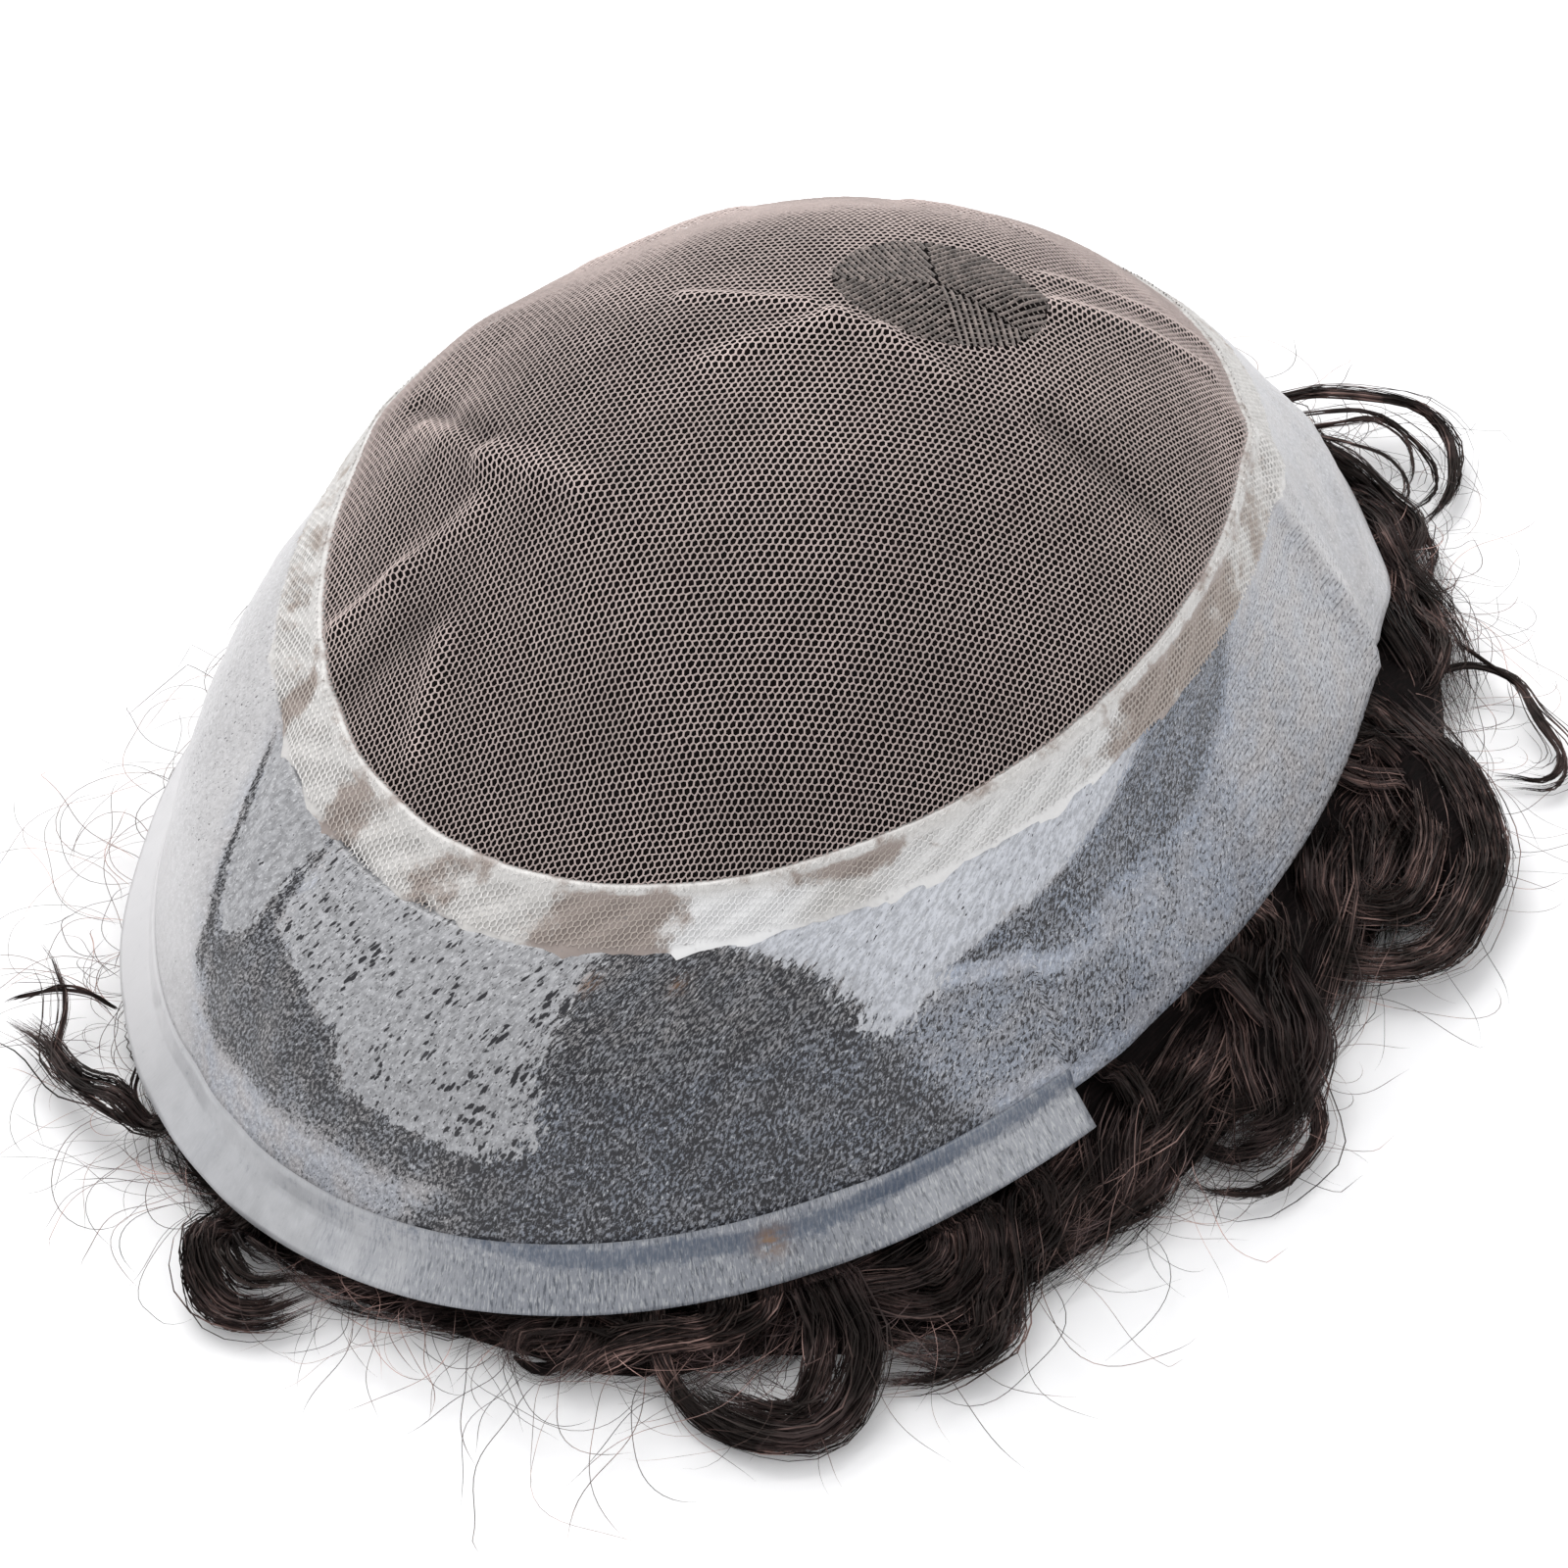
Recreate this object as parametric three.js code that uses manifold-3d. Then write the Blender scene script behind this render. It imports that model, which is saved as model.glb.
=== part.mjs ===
// Hairpiece base of net and clear film, lying scalp side up on its own curls.
// Millimetres, +Z up. X runs across the head, -Y to the front hairline, +Y to the back.
import * as THREE from 'three';
import { mergeVertices } from 'three/addons/utils/BufferGeometryUtils.js';
import Module from 'manifold-3d';

const wasm = await Module();
wasm.setup();

// Driving sizes of the base
const BASE_LENGTH = 196;
const BASE_WIDTH = 134;
const NET_LENGTH = 137;
const NET_WIDTH = 103.5;
const NET_EDGE_HEIGHT = 40;
const NET_RISE = 30.5;
const RIM_HEIGHT = 13;
const NET_WALL = 1;
const FILM_WALL = 1;
const SEAM_GAP = 0.3;
const BAND_WIDTH = 8.5;
const LIP_WIDTH = 1.6;
const LIP_HEIGHT = 0.6;
const STRIP_LAP = 3.6;
const STRIP_FLARE = 5.6;
const STRIP_FLARE_ANGLE = 45;
const STRIP_END_ANGLE = 15;
const FOLD_HEIGHT = 1.6;
const FOLD_WIDTH = 6;

// Driving sizes of the crown patch, and where its middle lies
const PATCH_LENGTH = 27;
const PATCH_WIDTH = 22;
const PATCH_RIGHT = 6.5;
const PATCH_BACK = 21;
const PATCH_TURN = 38;

// Driving sizes of the hair
const ROOT_DEPTH = 3;
const FRINGE_DEPTH = 11;
const FRINGE_INSET = 5;
const LOCK_REACH = 20;
const ROOT_GAP = 0.7;
const LOCK_WIDTH = 15;
const LOCK_THICKNESS = 9.5;
const CURL_RADIUS = 9;

// How finely the solids are faceted
const COLUMNS = 60;
const LOCK_STEPS = 12;
const LOCK_SIDES = 7;
const PATCH_POINTS = 28;
const STATION_STEP = 0.02;
const ANGLE_STEP = 1;

// Rings of the skirt, from the net's edge down to the skirt's own edge.
// long and wide: share of the way out from the net's edge to the skirt's edge, lengthwise and
// across. height, sway and tilt: shares of NET_EDGE_HEIGHT. back: share of BASE_LENGTH.
// round: exponent of the oval. egg: how much narrower it grows towards the back.
const SKIRT_RINGS = [
  { long: 0, wide: 0, height: 1, sway: 0.103, tilt: -0.008, back: 0.0138, round: 1.94, egg: -0.09 },
  { long: 0.59, wide: 0.44, height: 0.64, sway: 0.071, tilt: 0.002, back: -0.0148, round: 1.99, egg: -0.07 },
  { long: 1, wide: 1, height: 0, sway: 0.039, tilt: 0.012, back: 0.0064, round: 2.04, egg: -0.05 },
];

// Rings of the net. plan: share of the net edge's outline. rise: share of the way up to the top.
const NET_RINGS = [
  { plan: 0.45, rise: 0.86 },
  { plan: 0.78, rise: 0.44 },
];

// Folds (height above 0) and dents (below 0) of net and film, each along a line seen from above.
// x and y: shares of half the base's width and length. height and width: shares of the fold sizes.
const FOLDS = [
  { name: 'left net ridge', x1: -0.43, y1: -0.28, x2: -0.07, y2: -0.31, height: 0.75, width: 0.9 },
  { name: 'middle net ridge', x1: -0.19, y1: -0.05, x2: 0.15, y2: 0.06, height: 0.5, width: 1.0 },
  { name: 'patch ridge', x1: 0.02, y1: 0.1, x2: 0.32, y2: 0.44, height: 0.45, width: 0.8 },
  { name: 'left net dent', x1: -0.42, y1: -0.43, x2: 0.06, y2: -0.51, height: -1.0, width: 1.4 },
  { name: 'left shoulder', x1: -0.7, y1: -0.2, x2: -0.66, y2: -0.08, height: 0.9, width: 1.3 },
  { name: 'back shoulder', x1: -0.6, y1: 0.3, x2: -0.45, y2: 0.45, height: 0.6, width: 1.4 },
  { name: 'right crease', x1: 0.54, y1: 0.54, x2: 0.7, y2: 0.6, height: 1.0, width: 0.8 },
  { name: 'right edge crease', x1: 0.37, y1: 0.82, x2: 0.66, y2: 0.76, height: 1.0, width: 0.8 },
  { name: 'left stripe', x1: -0.46, y1: -0.68, x2: -0.28, y2: -0.9, height: -0.9, width: 0.8 },
  { name: 'left inner stripe', x1: -0.19, y1: -0.76, x2: -0.15, y2: -0.92, height: -0.8, width: 0.8 },
  { name: 'front ridge', x1: 0.8, y1: -0.5, x2: 0.93, y2: -0.16, height: 0.75, width: 0.8 },
];

// How far the hair on the table reaches out under and past the rim, share of LOCK_REACH,
// at angles in degrees round from the right side
const SPREAD = [
  { angle: -180, reach: 0.1 },
  { angle: -140, reach: 0 },
  { angle: -112, reach: 0 },
  { angle: -88, reach: 0.03 },
  { angle: -66, reach: 0.2 },
  { angle: -40, reach: 0.55 },
  { angle: -15, reach: 0.5 },
  { angle: 12, reach: 0.4 },
  { angle: 35, reach: 0.45 },
  { angle: 60, reach: 0.25 },
  { angle: 90, reach: 0.15 },
  { angle: 140, reach: 0.3 },
  { angle: 180, reach: 0.1 },
];

// Locks of hair. Each leaves the fringe under the rim at root, in the same degrees, flows along
// the rim and ends in a curl that lies on the table.
// swing: degrees from the root to the middle of the curl. reach: how far that middle lies beyond
// the rim, share of LOCK_REACH. radius: share of CURL_RADIUS. start: where on the curl the lock
// joins it, degrees from straight out. sweep: degrees that it then turns through.
// lift: height of the lock on its way, share of RIM_HEIGHT. girth: share of the lock's section.
const LOCKS = [
  { root: 88, swing: -16, reach: 0.55, radius: 0.78, start: 80, sweep: -170, lift: 1.1, girth: 0.4 },
  { root: 73, swing: -20, reach: 0.1, radius: 0.45, start: 70, sweep: -120, lift: 0.7, girth: 0.45 },
  { root: 58, swing: -17, reach: 0.1, radius: 0.5, start: 60, sweep: -130, lift: 0.6, girth: 0.45 },
  { root: 50, swing: -14, reach: 0.8, radius: 0.8, start: 80, sweep: -190, lift: 0.5, girth: 0.3 },
  { root: 40, swing: -17, reach: 0.5, radius: 0.75, start: 80, sweep: -250, lift: 0.7, girth: 0.85 },
  { root: 24, swing: -12, reach: 0.1, radius: 0.4, start: 70, sweep: -150, lift: 0.7, girth: 0.5 },
  { root: 12, swing: -17, reach: 0.6, radius: 0.6, start: 80, sweep: -250, lift: 0.7, girth: 0.6 },
  { root: -6, swing: -12, reach: 0.3, radius: 0.5, start: 70, sweep: -140, lift: 0.6, girth: 0.6 },
  { root: -18, swing: -12, reach: 0.5, radius: 0.6, start: 80, sweep: -180, lift: 0.5, girth: 0.6 },
  { root: -36, swing: -12, reach: 0.65, radius: 0.75, start: 80, sweep: -240, lift: 0.5, girth: 0.6 },
  { root: -54, swing: -8, reach: 0.15, radius: 0.5, start: 70, sweep: -120, lift: 0.4, girth: 0.5 },
  { root: -80, swing: -7, reach: 0.11, radius: 0.75, start: 90, sweep: -230, lift: 0.4, girth: 0.4 },
  { root: -105, swing: -15, reach: 0.45, radius: 0.75, start: 60, sweep: -110, lift: 0.9, girth: 0.4 },
  { root: -128, swing: -8, reach: -0.35, radius: 0.5, start: 75, sweep: -190, lift: 0.4, girth: 0.5 },
  { root: -146, swing: -9, reach: -0.35, radius: 0.6, start: 80, sweep: -220, lift: 0.5, girth: 0.6 },
  { root: -163, swing: -9, reach: -0.3, radius: 0.6, start: 70, sweep: -170, lift: 0.5, girth: 0.6 },
  { root: 180, swing: -8, reach: -0.2, radius: 0.7, start: 80, sweep: -230, lift: 0.5, girth: 0.7 },
  { root: 162, swing: -9, reach: 0, radius: 0.7, start: 70, sweep: -180, lift: 0.5, girth: 0.7 },
  { root: 143, swing: -8, reach: 0.05, radius: 0.7, start: 80, sweep: -230, lift: 0.5, girth: 0.7 },
  { root: 126, swing: -9, reach: 0, radius: 0.7, start: 70, sweep: -160, lift: 0.5, girth: 0.7 },
  { root: 108, swing: -8, reach: -0.05, radius: 0.7, start: 80, sweep: -210, lift: 0.5, girth: 0.6 },
];

// Way of a lock from under the rim to its curl. swing and reach: shares of the lock's own.
// inside: how far inside the rim it lies, share of half its thickness. lift: share of its lift.
const LOCK_WAY = [
  { swing: 0.1, reach: 0, inside: 1, lift: 0.5 },
  { swing: 0.5, reach: 0.4, inside: 0, lift: 1 },
];
const CURL_SHARES = [0, 0.25, 0.5, 0.75, 1];
const CURL_REST = 0.8;
const LOCK_TIP = 0.6;

// Stations down the slope: 0 is the top, then one for each ring, then the end of the strip's flare
const TOP = 0;
const NET_EDGE = NET_RINGS.length + 1;
const SKIRT_EDGE = NET_EDGE + SKIRT_RINGS.length - 1;
const NET_STATIONS = [0.4, 0.85, 1.3, 1.75, 2.2, 2.6];
const SKIRT_SHARES = [0.25, 0.5, 0.75];
const LOCK_ROOT = SKIRT_EDGE - 0.5;
const ROOM_LAP = 0.1;

// Height of the hair on the table, at the fringe and where its spread ends: shares of the room
// under the rim
const FRINGE_SHARE = 0.85;
const SPREAD_SHARE = 0.55;

const radians = THREE.MathUtils.degToRad;
const mix = THREE.MathUtils.lerp;

// Outline of one ring of the base at an angle in degrees
function ringPoint(ring, angle) {
  const c = Math.cos(radians(angle));
  const s = Math.sin(radians(angle));
  const p = ring.round;
  const r = (Math.abs(c) ** p + Math.abs(s) ** p) ** (-1 / p);
  const halfWidth = mix(NET_WIDTH, BASE_WIDTH, ring.wide) / 2;
  const halfLength = mix(NET_LENGTH, BASE_LENGTH, ring.long) / 2;
  const wave = ring.sway * Math.cos(radians(2 * angle)) + ring.tilt * s;
  return new THREE.Vector3(
    halfWidth * r * c * (1 + ring.egg * s),
    ring.back * BASE_LENGTH + halfLength * r * s,
    RIM_HEIGHT + NET_EDGE_HEIGHT * (ring.height + wave),
  );
}

// Point of the ring table at a whole station
function stationPoint(station, angle) {
  const middle = SKIRT_RINGS[0].back * BASE_LENGTH;
  const top = new THREE.Vector3(0, middle, RIM_HEIGHT + NET_EDGE_HEIGHT + NET_RISE);
  if (station === TOP) {
    return top;
  }
  if (station < TOP) {
    return stationPoint(-station, angle + 180);
  }
  if (station < NET_EDGE) {
    const { plan, rise } = NET_RINGS[station - 1];
    const edge = ringPoint(SKIRT_RINGS[0], angle);
    return new THREE.Vector3(
      edge.x * plan,
      mix(middle, edge.y, plan),
      mix(edge.z, top.z, rise),
    );
  }
  if (station > SKIRT_EDGE) {
    const last = stationPoint(SKIRT_EDGE, angle);
    return last.multiplyScalar(2).sub(stationPoint(SKIRT_EDGE - 1, angle));
  }
  return ringPoint(SKIRT_RINGS[station - NET_EDGE], angle);
}

// Smooth outer surface of the base between the stations, without folds
function smoothPoint(station, angle) {
  const from = Math.min(Math.floor(station), SKIRT_EDGE - 1);
  const t = station - from;
  const [a, b, c, d] = [-1, 0, 1, 2].map((k) => stationPoint(from + k, angle));
  const blend = (axis) => 0.5 * (2 * b[axis] + (c[axis] - a[axis]) * t
    + (2 * a[axis] - 5 * b[axis] + 4 * c[axis] - d[axis]) * t * t
    + (3 * b[axis] - a[axis] - 3 * c[axis] + d[axis]) * t ** 3);
  return new THREE.Vector3(blend('x'), blend('y'), blend('z'));
}

// Direction that points straight out of the rim, seen from above
function outward(angle) {
  const along = smoothPoint(SKIRT_EDGE, angle + ANGLE_STEP)
    .sub(smoothPoint(SKIRT_EDGE, angle - ANGLE_STEP));
  return new THREE.Vector3(along.y, -along.x, 0).normalize();
}

// Outward normal of the smooth surface
function normalAt(station, angle) {
  if (station === TOP) {
    return new THREE.Vector3(0, 0, 1);
  }
  const low = Math.min(station + STATION_STEP, SKIRT_EDGE);
  const down = smoothPoint(low, angle).sub(smoothPoint(low - 2 * STATION_STEP, angle));
  const round = smoothPoint(low, angle + ANGLE_STEP).sub(smoothPoint(low, angle - ANGLE_STEP));
  return down.cross(round).normalize();
}

// Height of folds and dents at a place seen from above, each as much wider as told
function foldHeight(x, y, folds = FOLDS, wider = 1) {
  const place = new THREE.Vector3(x, y, 0);
  const near = new THREE.Vector3();
  return folds.reduce((sum, fold) => {
    const line = new THREE.Line3(
      new THREE.Vector3(fold.x1 * BASE_WIDTH / 2, fold.y1 * BASE_LENGTH / 2, 0),
      new THREE.Vector3(fold.x2 * BASE_WIDTH / 2, fold.y2 * BASE_LENGTH / 2, 0),
    );
    line.closestPointToPoint(place, true, near);
    const away = near.distanceTo(place) / (fold.width * FOLD_WIDTH * wider);
    return sum + fold.height * FOLD_HEIGHT * Math.exp(-(away ** 2));
  }, 0);
}

// Point of the base's skin. out: distance outward from the outer surface.
// Past the skirt's edge the skin goes on in the strip's flare, by flare millimetres.
function skin(station, angle, out, flare = 0) {
  const point = smoothPoint(station, angle);
  const height = foldHeight(point.x, point.y);
  const normal = normalAt(station, angle);
  if (flare > 0) {
    const slope = radians(STRIP_FLARE_ANGLE);
    const away = outward(angle);
    point.addScaledVector(away, flare * Math.cos(slope));
    point.z -= flare * Math.sin(slope);
    normal.copy(away).multiplyScalar(Math.sin(slope));
    normal.z = Math.cos(slope);
  }
  return point.addScaledVector(normal, out + height);
}

// Station that lies a number of millimetres down the slope from another (up if below 0)
function stationBeyond(station, angle, distance) {
  const step = STATION_STEP * Math.sign(distance);
  let place = station;
  let left = Math.abs(distance);
  let here = smoothPoint(place, angle);
  while (place + step >= TOP && place + step <= SKIRT_EDGE) {
    const next = smoothPoint(place + step, angle);
    const length = next.distanceTo(here);
    if (length >= left) {
      return place + step * left / length;
    }
    left -= length;
    place += step;
    here = next;
  }
  return place;
}

// Closed body between an outer and an inner grid of points, row by row.
// round: the rows close on themselves. pole: the first row is one point.
function gridBody(outer, inner, { round, pole = false }) {
  const points = [];
  const faces = [];
  const store = (grid) => grid.map((row) => row.map((p) => points.push(p) - 1));
  const [a, b] = [store(outer), store(inner)];
  const quad = (p, q, r, s) => faces.push(p, q, r, p, r, s);
  const last = a.length - 1;
  const width = a[last].length;
  const steps = round ? width : width - 1;
  for (let j = 0; j < steps; j += 1) {
    const k = (j + 1) % width;
    for (let i = pole ? 1 : 0; i < last; i += 1) {
      quad(a[i][j], a[i + 1][j], a[i + 1][k], a[i][k]);
      quad(b[i][j], b[i][k], b[i + 1][k], b[i + 1][j]);
    }
    quad(a[last][j], b[last][j], b[last][k], a[last][k]);
    if (pole) {
      faces.push(a[0][0], a[1][j], a[1][k], b[0][0], b[1][k], b[1][j]);
    } else {
      quad(a[0][j], a[0][k], b[0][k], b[0][j]);
    }
  }
  if (!round) {
    for (let i = 0; i < last; i += 1) {
      quad(a[i][0], b[i][0], b[i + 1][0], a[i + 1][0]);
      quad(a[i][steps], a[i + 1][steps], b[i + 1][steps], b[i][steps]);
    }
  }
  return geometryOf(points.flatMap((p) => p.toArray()), faces);
}

function geometryOf(positions, faces) {
  const geometry = new THREE.BufferGeometry();
  geometry.setAttribute('position', new THREE.Float32BufferAttribute(positions, 3));
  geometry.setIndex(faces);
  return geometry;
}

// Geometry to a solid that can be joined and cut, and back
function solidOf(source) {
  const geometry = source.clone();
  geometry.deleteAttribute('normal');
  geometry.deleteAttribute('uv');
  const merged = mergeVertices(geometry, 1e-3);
  return new wasm.Manifold(new wasm.Mesh({
    numProp: 3,
    vertProperties: new Float32Array(merged.attributes.position.array),
    triVerts: new Uint32Array(merged.index.array),
  }));
}

function geometryFrom(solid) {
  const mesh = solid.getMesh();
  return geometryOf(Array.from(mesh.vertProperties), Array.from(mesh.triVerts));
}

const allRound = Array.from({ length: COLUMNS }, (_, i) => i * 360 / COLUMNS);

// Shell whose rows follow a list of functions of the angle, each giving a station and its offsets
function shell(rows, angles, options) {
  const face = (side) => rows.map((row) => {
    const around = row.pole ? [0] : angles;
    return around.map((angle) => {
      const place = row.at(angle);
      return skin(place.station, angle, place[side], place.flare);
    });
  });
  return gridBody(face('outer'), face('inner'), options);
}

// Row at a fixed station of a wall that is as thick as given
function wallRow(station, wall, raise = 0) {
  return { at: () => ({ station, outer: raise, inner: -wall }) };
}

// Row measured down the slope from a station
function wallRowBeyond(station, distance, wall, raise = 0) {
  return {
    at: (angle) => ({
      station: stationBeyond(station, angle, distance),
      outer: raise,
      inner: -wall,
    }),
  };
}


// Net: the middle of the base, with its hole for the crown patch
function wholeNet() {
  const rows = [
    { pole: true, ...wallRow(TOP, NET_WALL) },
    ...NET_STATIONS.map((station) => wallRow(station, NET_WALL)),
    wallRowBeyond(NET_EDGE, -SEAM_GAP, NET_WALL),
  ];
  return solidOf(shell(rows, allRound, { round: true, pole: true }));
}

// Upright oval block that cuts out the crown patch, larger by a clearance
function patchBlock(clearance) {
  const outline = new THREE.Shape();
  const [long, short] = [PATCH_LENGTH / 2 + clearance, PATCH_WIDTH / 2 + clearance];
  const turn = radians(PATCH_TURN);
  outline.absellipse(PATCH_RIGHT, PATCH_BACK, long, short, 0, 2 * Math.PI, false, turn);
  return solidOf(new THREE.ExtrudeGeometry(outline, {
    depth: RIM_HEIGHT + NET_EDGE_HEIGHT + 2 * NET_RISE,
    bevelEnabled: false,
    curveSegments: PATCH_POINTS,
  }));
}

function centreNet() {
  return geometryFrom(wholeNet().subtract(patchBlock(SEAM_GAP)));
}

function crownPatch() {
  return geometryFrom(wholeNet().intersect(patchBlock(0)));
}

// Coated border of the net, with the raised lip along its inner edge
function coatedNetBand() {
  const rows = [
    wallRow(NET_EDGE, NET_WALL, LIP_HEIGHT),
    wallRowBeyond(NET_EDGE, LIP_WIDTH, NET_WALL, LIP_HEIGHT),
    wallRowBeyond(NET_EDGE, LIP_WIDTH + LIP_HEIGHT, NET_WALL),
    wallRowBeyond(NET_EDGE, BAND_WIDTH, NET_WALL),
  ];
  return shell(rows, allRound, { round: true });
}

// Angles of the two square-cut ends of the front strip
const stripEnds = [-180 + STRIP_END_ANGLE, -STRIP_END_ANGLE];
const stripNotch = SEAM_GAP / (BASE_WIDTH / 2) * 180 / Math.PI;

function underStrip(angle) {
  const turned = angle > 180 ? angle - 360 : angle;
  return turned > stripEnds[0] - stripNotch / 2 && turned < stripEnds[1] + stripNotch / 2;
}

// Station at a share of the way down the film, from the band to the film's edge
function filmStation(share, angle) {
  const top = stationBeyond(NET_EDGE, angle, BAND_WIDTH + SEAM_GAP);
  const drawnBack = underStrip(angle) ? -(STRIP_LAP + SEAM_GAP) : 0;
  const edge = drawnBack ? stationBeyond(SKIRT_EDGE, angle, drawnBack) : SKIRT_EDGE;
  return mix(top, edge, share);
}

// Skirt of clear film. Its edge is drawn back along the front for the strip.
function polySkirt() {
  const corners = stripEnds.flatMap((end) => [end - stripNotch, end + stripNotch]);
  const extra = corners.map((angle) => (angle + 360) % 360).filter((angle) => !underStrip(angle));
  const edges = stripEnds.map((angle) => angle + 360);
  const angles = [...new Set([...allRound, ...edges, ...extra])].sort((a, b) => a - b);
  const rows = [0, ...SKIRT_SHARES, 1].map((share) => ({
    at: (angle) => ({ station: filmStation(share, angle), outer: 0, inner: -FILM_WALL }),
  }));
  return shell(rows, angles, { round: true });
}

// Angles of the strip's own columns, from its left end to its right end
function stripAngles() {
  const count = Math.round((stripEnds[1] - stripEnds[0]) * COLUMNS / 360);
  return Array.from({ length: count + 1 }, (_, i) => mix(stripEnds[0], stripEnds[1], i / count));
}

// Rows of the strip's wall between two offsets: over the lap, the skirt's edge and the flare
function stripRows(outer, inner, lap, flare) {
  return [
    { at: (angle) => ({ station: stationBeyond(SKIRT_EDGE, angle, -lap), outer, inner }) },
    { at: () => ({ station: SKIRT_EDGE - STATION_STEP, outer, inner }) },
    { at: () => ({ station: SKIRT_EDGE, outer, inner, flare: flare / 2 }) },
    { at: () => ({ station: SKIRT_EDGE, outer, inner, flare }) },
  ];
}

// Smooth clear strip along the front hairline
function frontStrip() {
  const rows = stripRows(0, -FILM_WALL, STRIP_LAP, STRIP_FLARE);
  return shell(rows, stripAngles(), { round: false });
}

const hairTop = -(Math.max(NET_WALL, FILM_WALL) + ROOT_GAP);
const hairRound = allRound.filter((_, i) => i % 2 === 0);
const dents = FOLDS.filter((fold) => fold.height < 0);
const DENT_ROOM = 2;

// Point of the hair under the base, a depth below its top. It keeps clear of every dent.
function hairPoint(station, angle, depth) {
  const point = smoothPoint(station, angle);
  const dent = foldHeight(point.x, point.y, dents, DENT_ROOM);
  return point.addScaledVector(normalAt(station, angle), hairTop + dent - depth);
}

// Short hair rooted in the net, under the net and its band
function crownHair() {
  const side = (depth) => [
    [hairPoint(TOP, 0, depth)],
    ...[...NET_STATIONS, NET_EDGE].map((station) => (
      hairRound.map((angle) => hairPoint(station, angle, depth))
    )),
    hairRound.map((angle) => (
      hairPoint(stationBeyond(NET_EDGE, angle, BAND_WIDTH / 2), angle, depth)
    )),
  ];
  return gridBody(side(0), side(ROOT_DEPTH), { round: true, pole: true });
}

// Place outside the rim (inside it if below 0), at a height above the table
function placeByRim(angle, beyond, height) {
  const point = smoothPoint(SKIRT_EDGE, angle).addScaledVector(outward(angle), beyond);
  point.z = height;
  return point;
}

// How far the hair reaches past the rim at an angle, smoothly between the rows of SPREAD
function spreadAt(angle) {
  const turned = THREE.MathUtils.euclideanModulo(angle + 180, 360) - 180;
  const next = SPREAD.findIndex((row, i) => i > 0 && row.angle >= turned);
  const [from, to] = [SPREAD[next - 1], SPREAD[next]];
  const share = THREE.MathUtils.smoothstep(turned, from.angle, to.angle);
  return mix(from.reach, to.reach, share) * LOCK_REACH;
}

// Height of the room under the rim, or under the strip where it covers the rim
function roomUnderRim(angle) {
  const lowest = underStrip(angle)
    ? skin(SKIRT_EDGE, angle, -FILM_WALL, STRIP_FLARE)
    : smoothPoint(SKIRT_EDGE, angle);
  return lowest.z - ROOT_GAP;
}

// Ring of hair under the skirt, which falls from its roots to the table and spreads out there
function fringe() {
  const row = (place) => hairRound.map(place);
  const side = (depthAtRoot, depthAtFoot) => [
    row((angle) => {
      const station = stationBeyond(NET_EDGE, angle, BAND_WIDTH / 2 + SEAM_GAP);
      return hairPoint(station, angle, depthAtRoot);
    }),
    ...[0, ...SKIRT_SHARES].map((share) => row((angle) => {
      const depth = mix(depthAtRoot, depthAtFoot, share ** 2);
      return hairPoint(filmStation(share, angle), angle, depth);
    })),
  ];
  const outer = [
    ...side(0, 0),
    row((angle) => placeByRim(angle, -FRINGE_INSET, roomUnderRim(angle) * FRINGE_SHARE)),
    row((angle) => placeByRim(angle, spreadAt(angle), roomUnderRim(angle) * SPREAD_SHARE)),
    row((angle) => placeByRim(angle, spreadAt(angle) + FRINGE_INSET / 2, 0)),
  ];
  const inside = -FRINGE_INSET - FRINGE_DEPTH;
  const inner = [
    ...side(ROOT_DEPTH, FRINGE_DEPTH),
    row((angle) => placeByRim(angle, inside, roomUnderRim(angle) * FRINGE_SHARE)),
    row((angle) => placeByRim(angle, inside, roomUnderRim(angle) * SPREAD_SHARE)),
    row((angle) => placeByRim(angle, inside, 0)),
  ];
  return solidOf(gridBody(outer, inner, { round: true }));
}

// Middle line of a lock, from its roots under the skirt to the tip of its curl
function lockPath(lock) {
  const half = LOCK_THICKNESS * lock.girth / 2;
  const height = lock.lift * RIM_HEIGHT;
  const root = hairPoint(LOCK_ROOT, lock.root, half);
  const way = LOCK_WAY.map((row) => placeByRim(
    lock.root + lock.swing * row.swing,
    lock.reach * LOCK_REACH * row.reach - half * row.inside,
    height * row.lift,
  ));
  const away = outward(lock.root + lock.swing);
  const middle = placeByRim(lock.root + lock.swing, lock.reach * LOCK_REACH, 0);
  const radius = lock.radius * CURL_RADIUS;
  const heading = Math.atan2(away.y, away.x);
  const curl = CURL_SHARES.map((share) => {
    const angle = heading + radians(lock.start + lock.sweep * share);
    return new THREE.Vector3(
      middle.x + radius * Math.cos(angle),
      middle.y + radius * Math.sin(angle),
      mix(height, half * CURL_REST, Math.min(1, 2 * share)),
    );
  });
  return new THREE.CatmullRomCurve3([root, ...way, ...curl], false, 'centripetal');
}

// One lock: an oval section swept along its middle line, thinner towards the tip
function lockOfHair(lock) {
  const path = lockPath(lock);
  const rows = Array.from({ length: LOCK_STEPS + 1 }, (_, i) => {
    const t = i / LOCK_STEPS;
    const centre = path.getPointAt(t);
    const along = path.getTangentAt(t);
    const across = new THREE.Vector3(along.y, -along.x, 0).normalize();
    const up = new THREE.Vector3().crossVectors(across, along).normalize();
    const taper = lock.girth * mix(1, LOCK_TIP, THREE.MathUtils.smoothstep(t, 0.5, 1));
    return Array.from({ length: LOCK_SIDES }, (_, k) => {
      const turn = k / LOCK_SIDES * 2 * Math.PI;
      return centre.clone()
        .addScaledVector(across, Math.cos(turn) * taper * LOCK_WIDTH / 2)
        .addScaledVector(up, Math.sin(turn) * taper * LOCK_THICKNESS / 2);
    });
  });
  return solidOf(tubeBody(rows));
}

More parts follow.
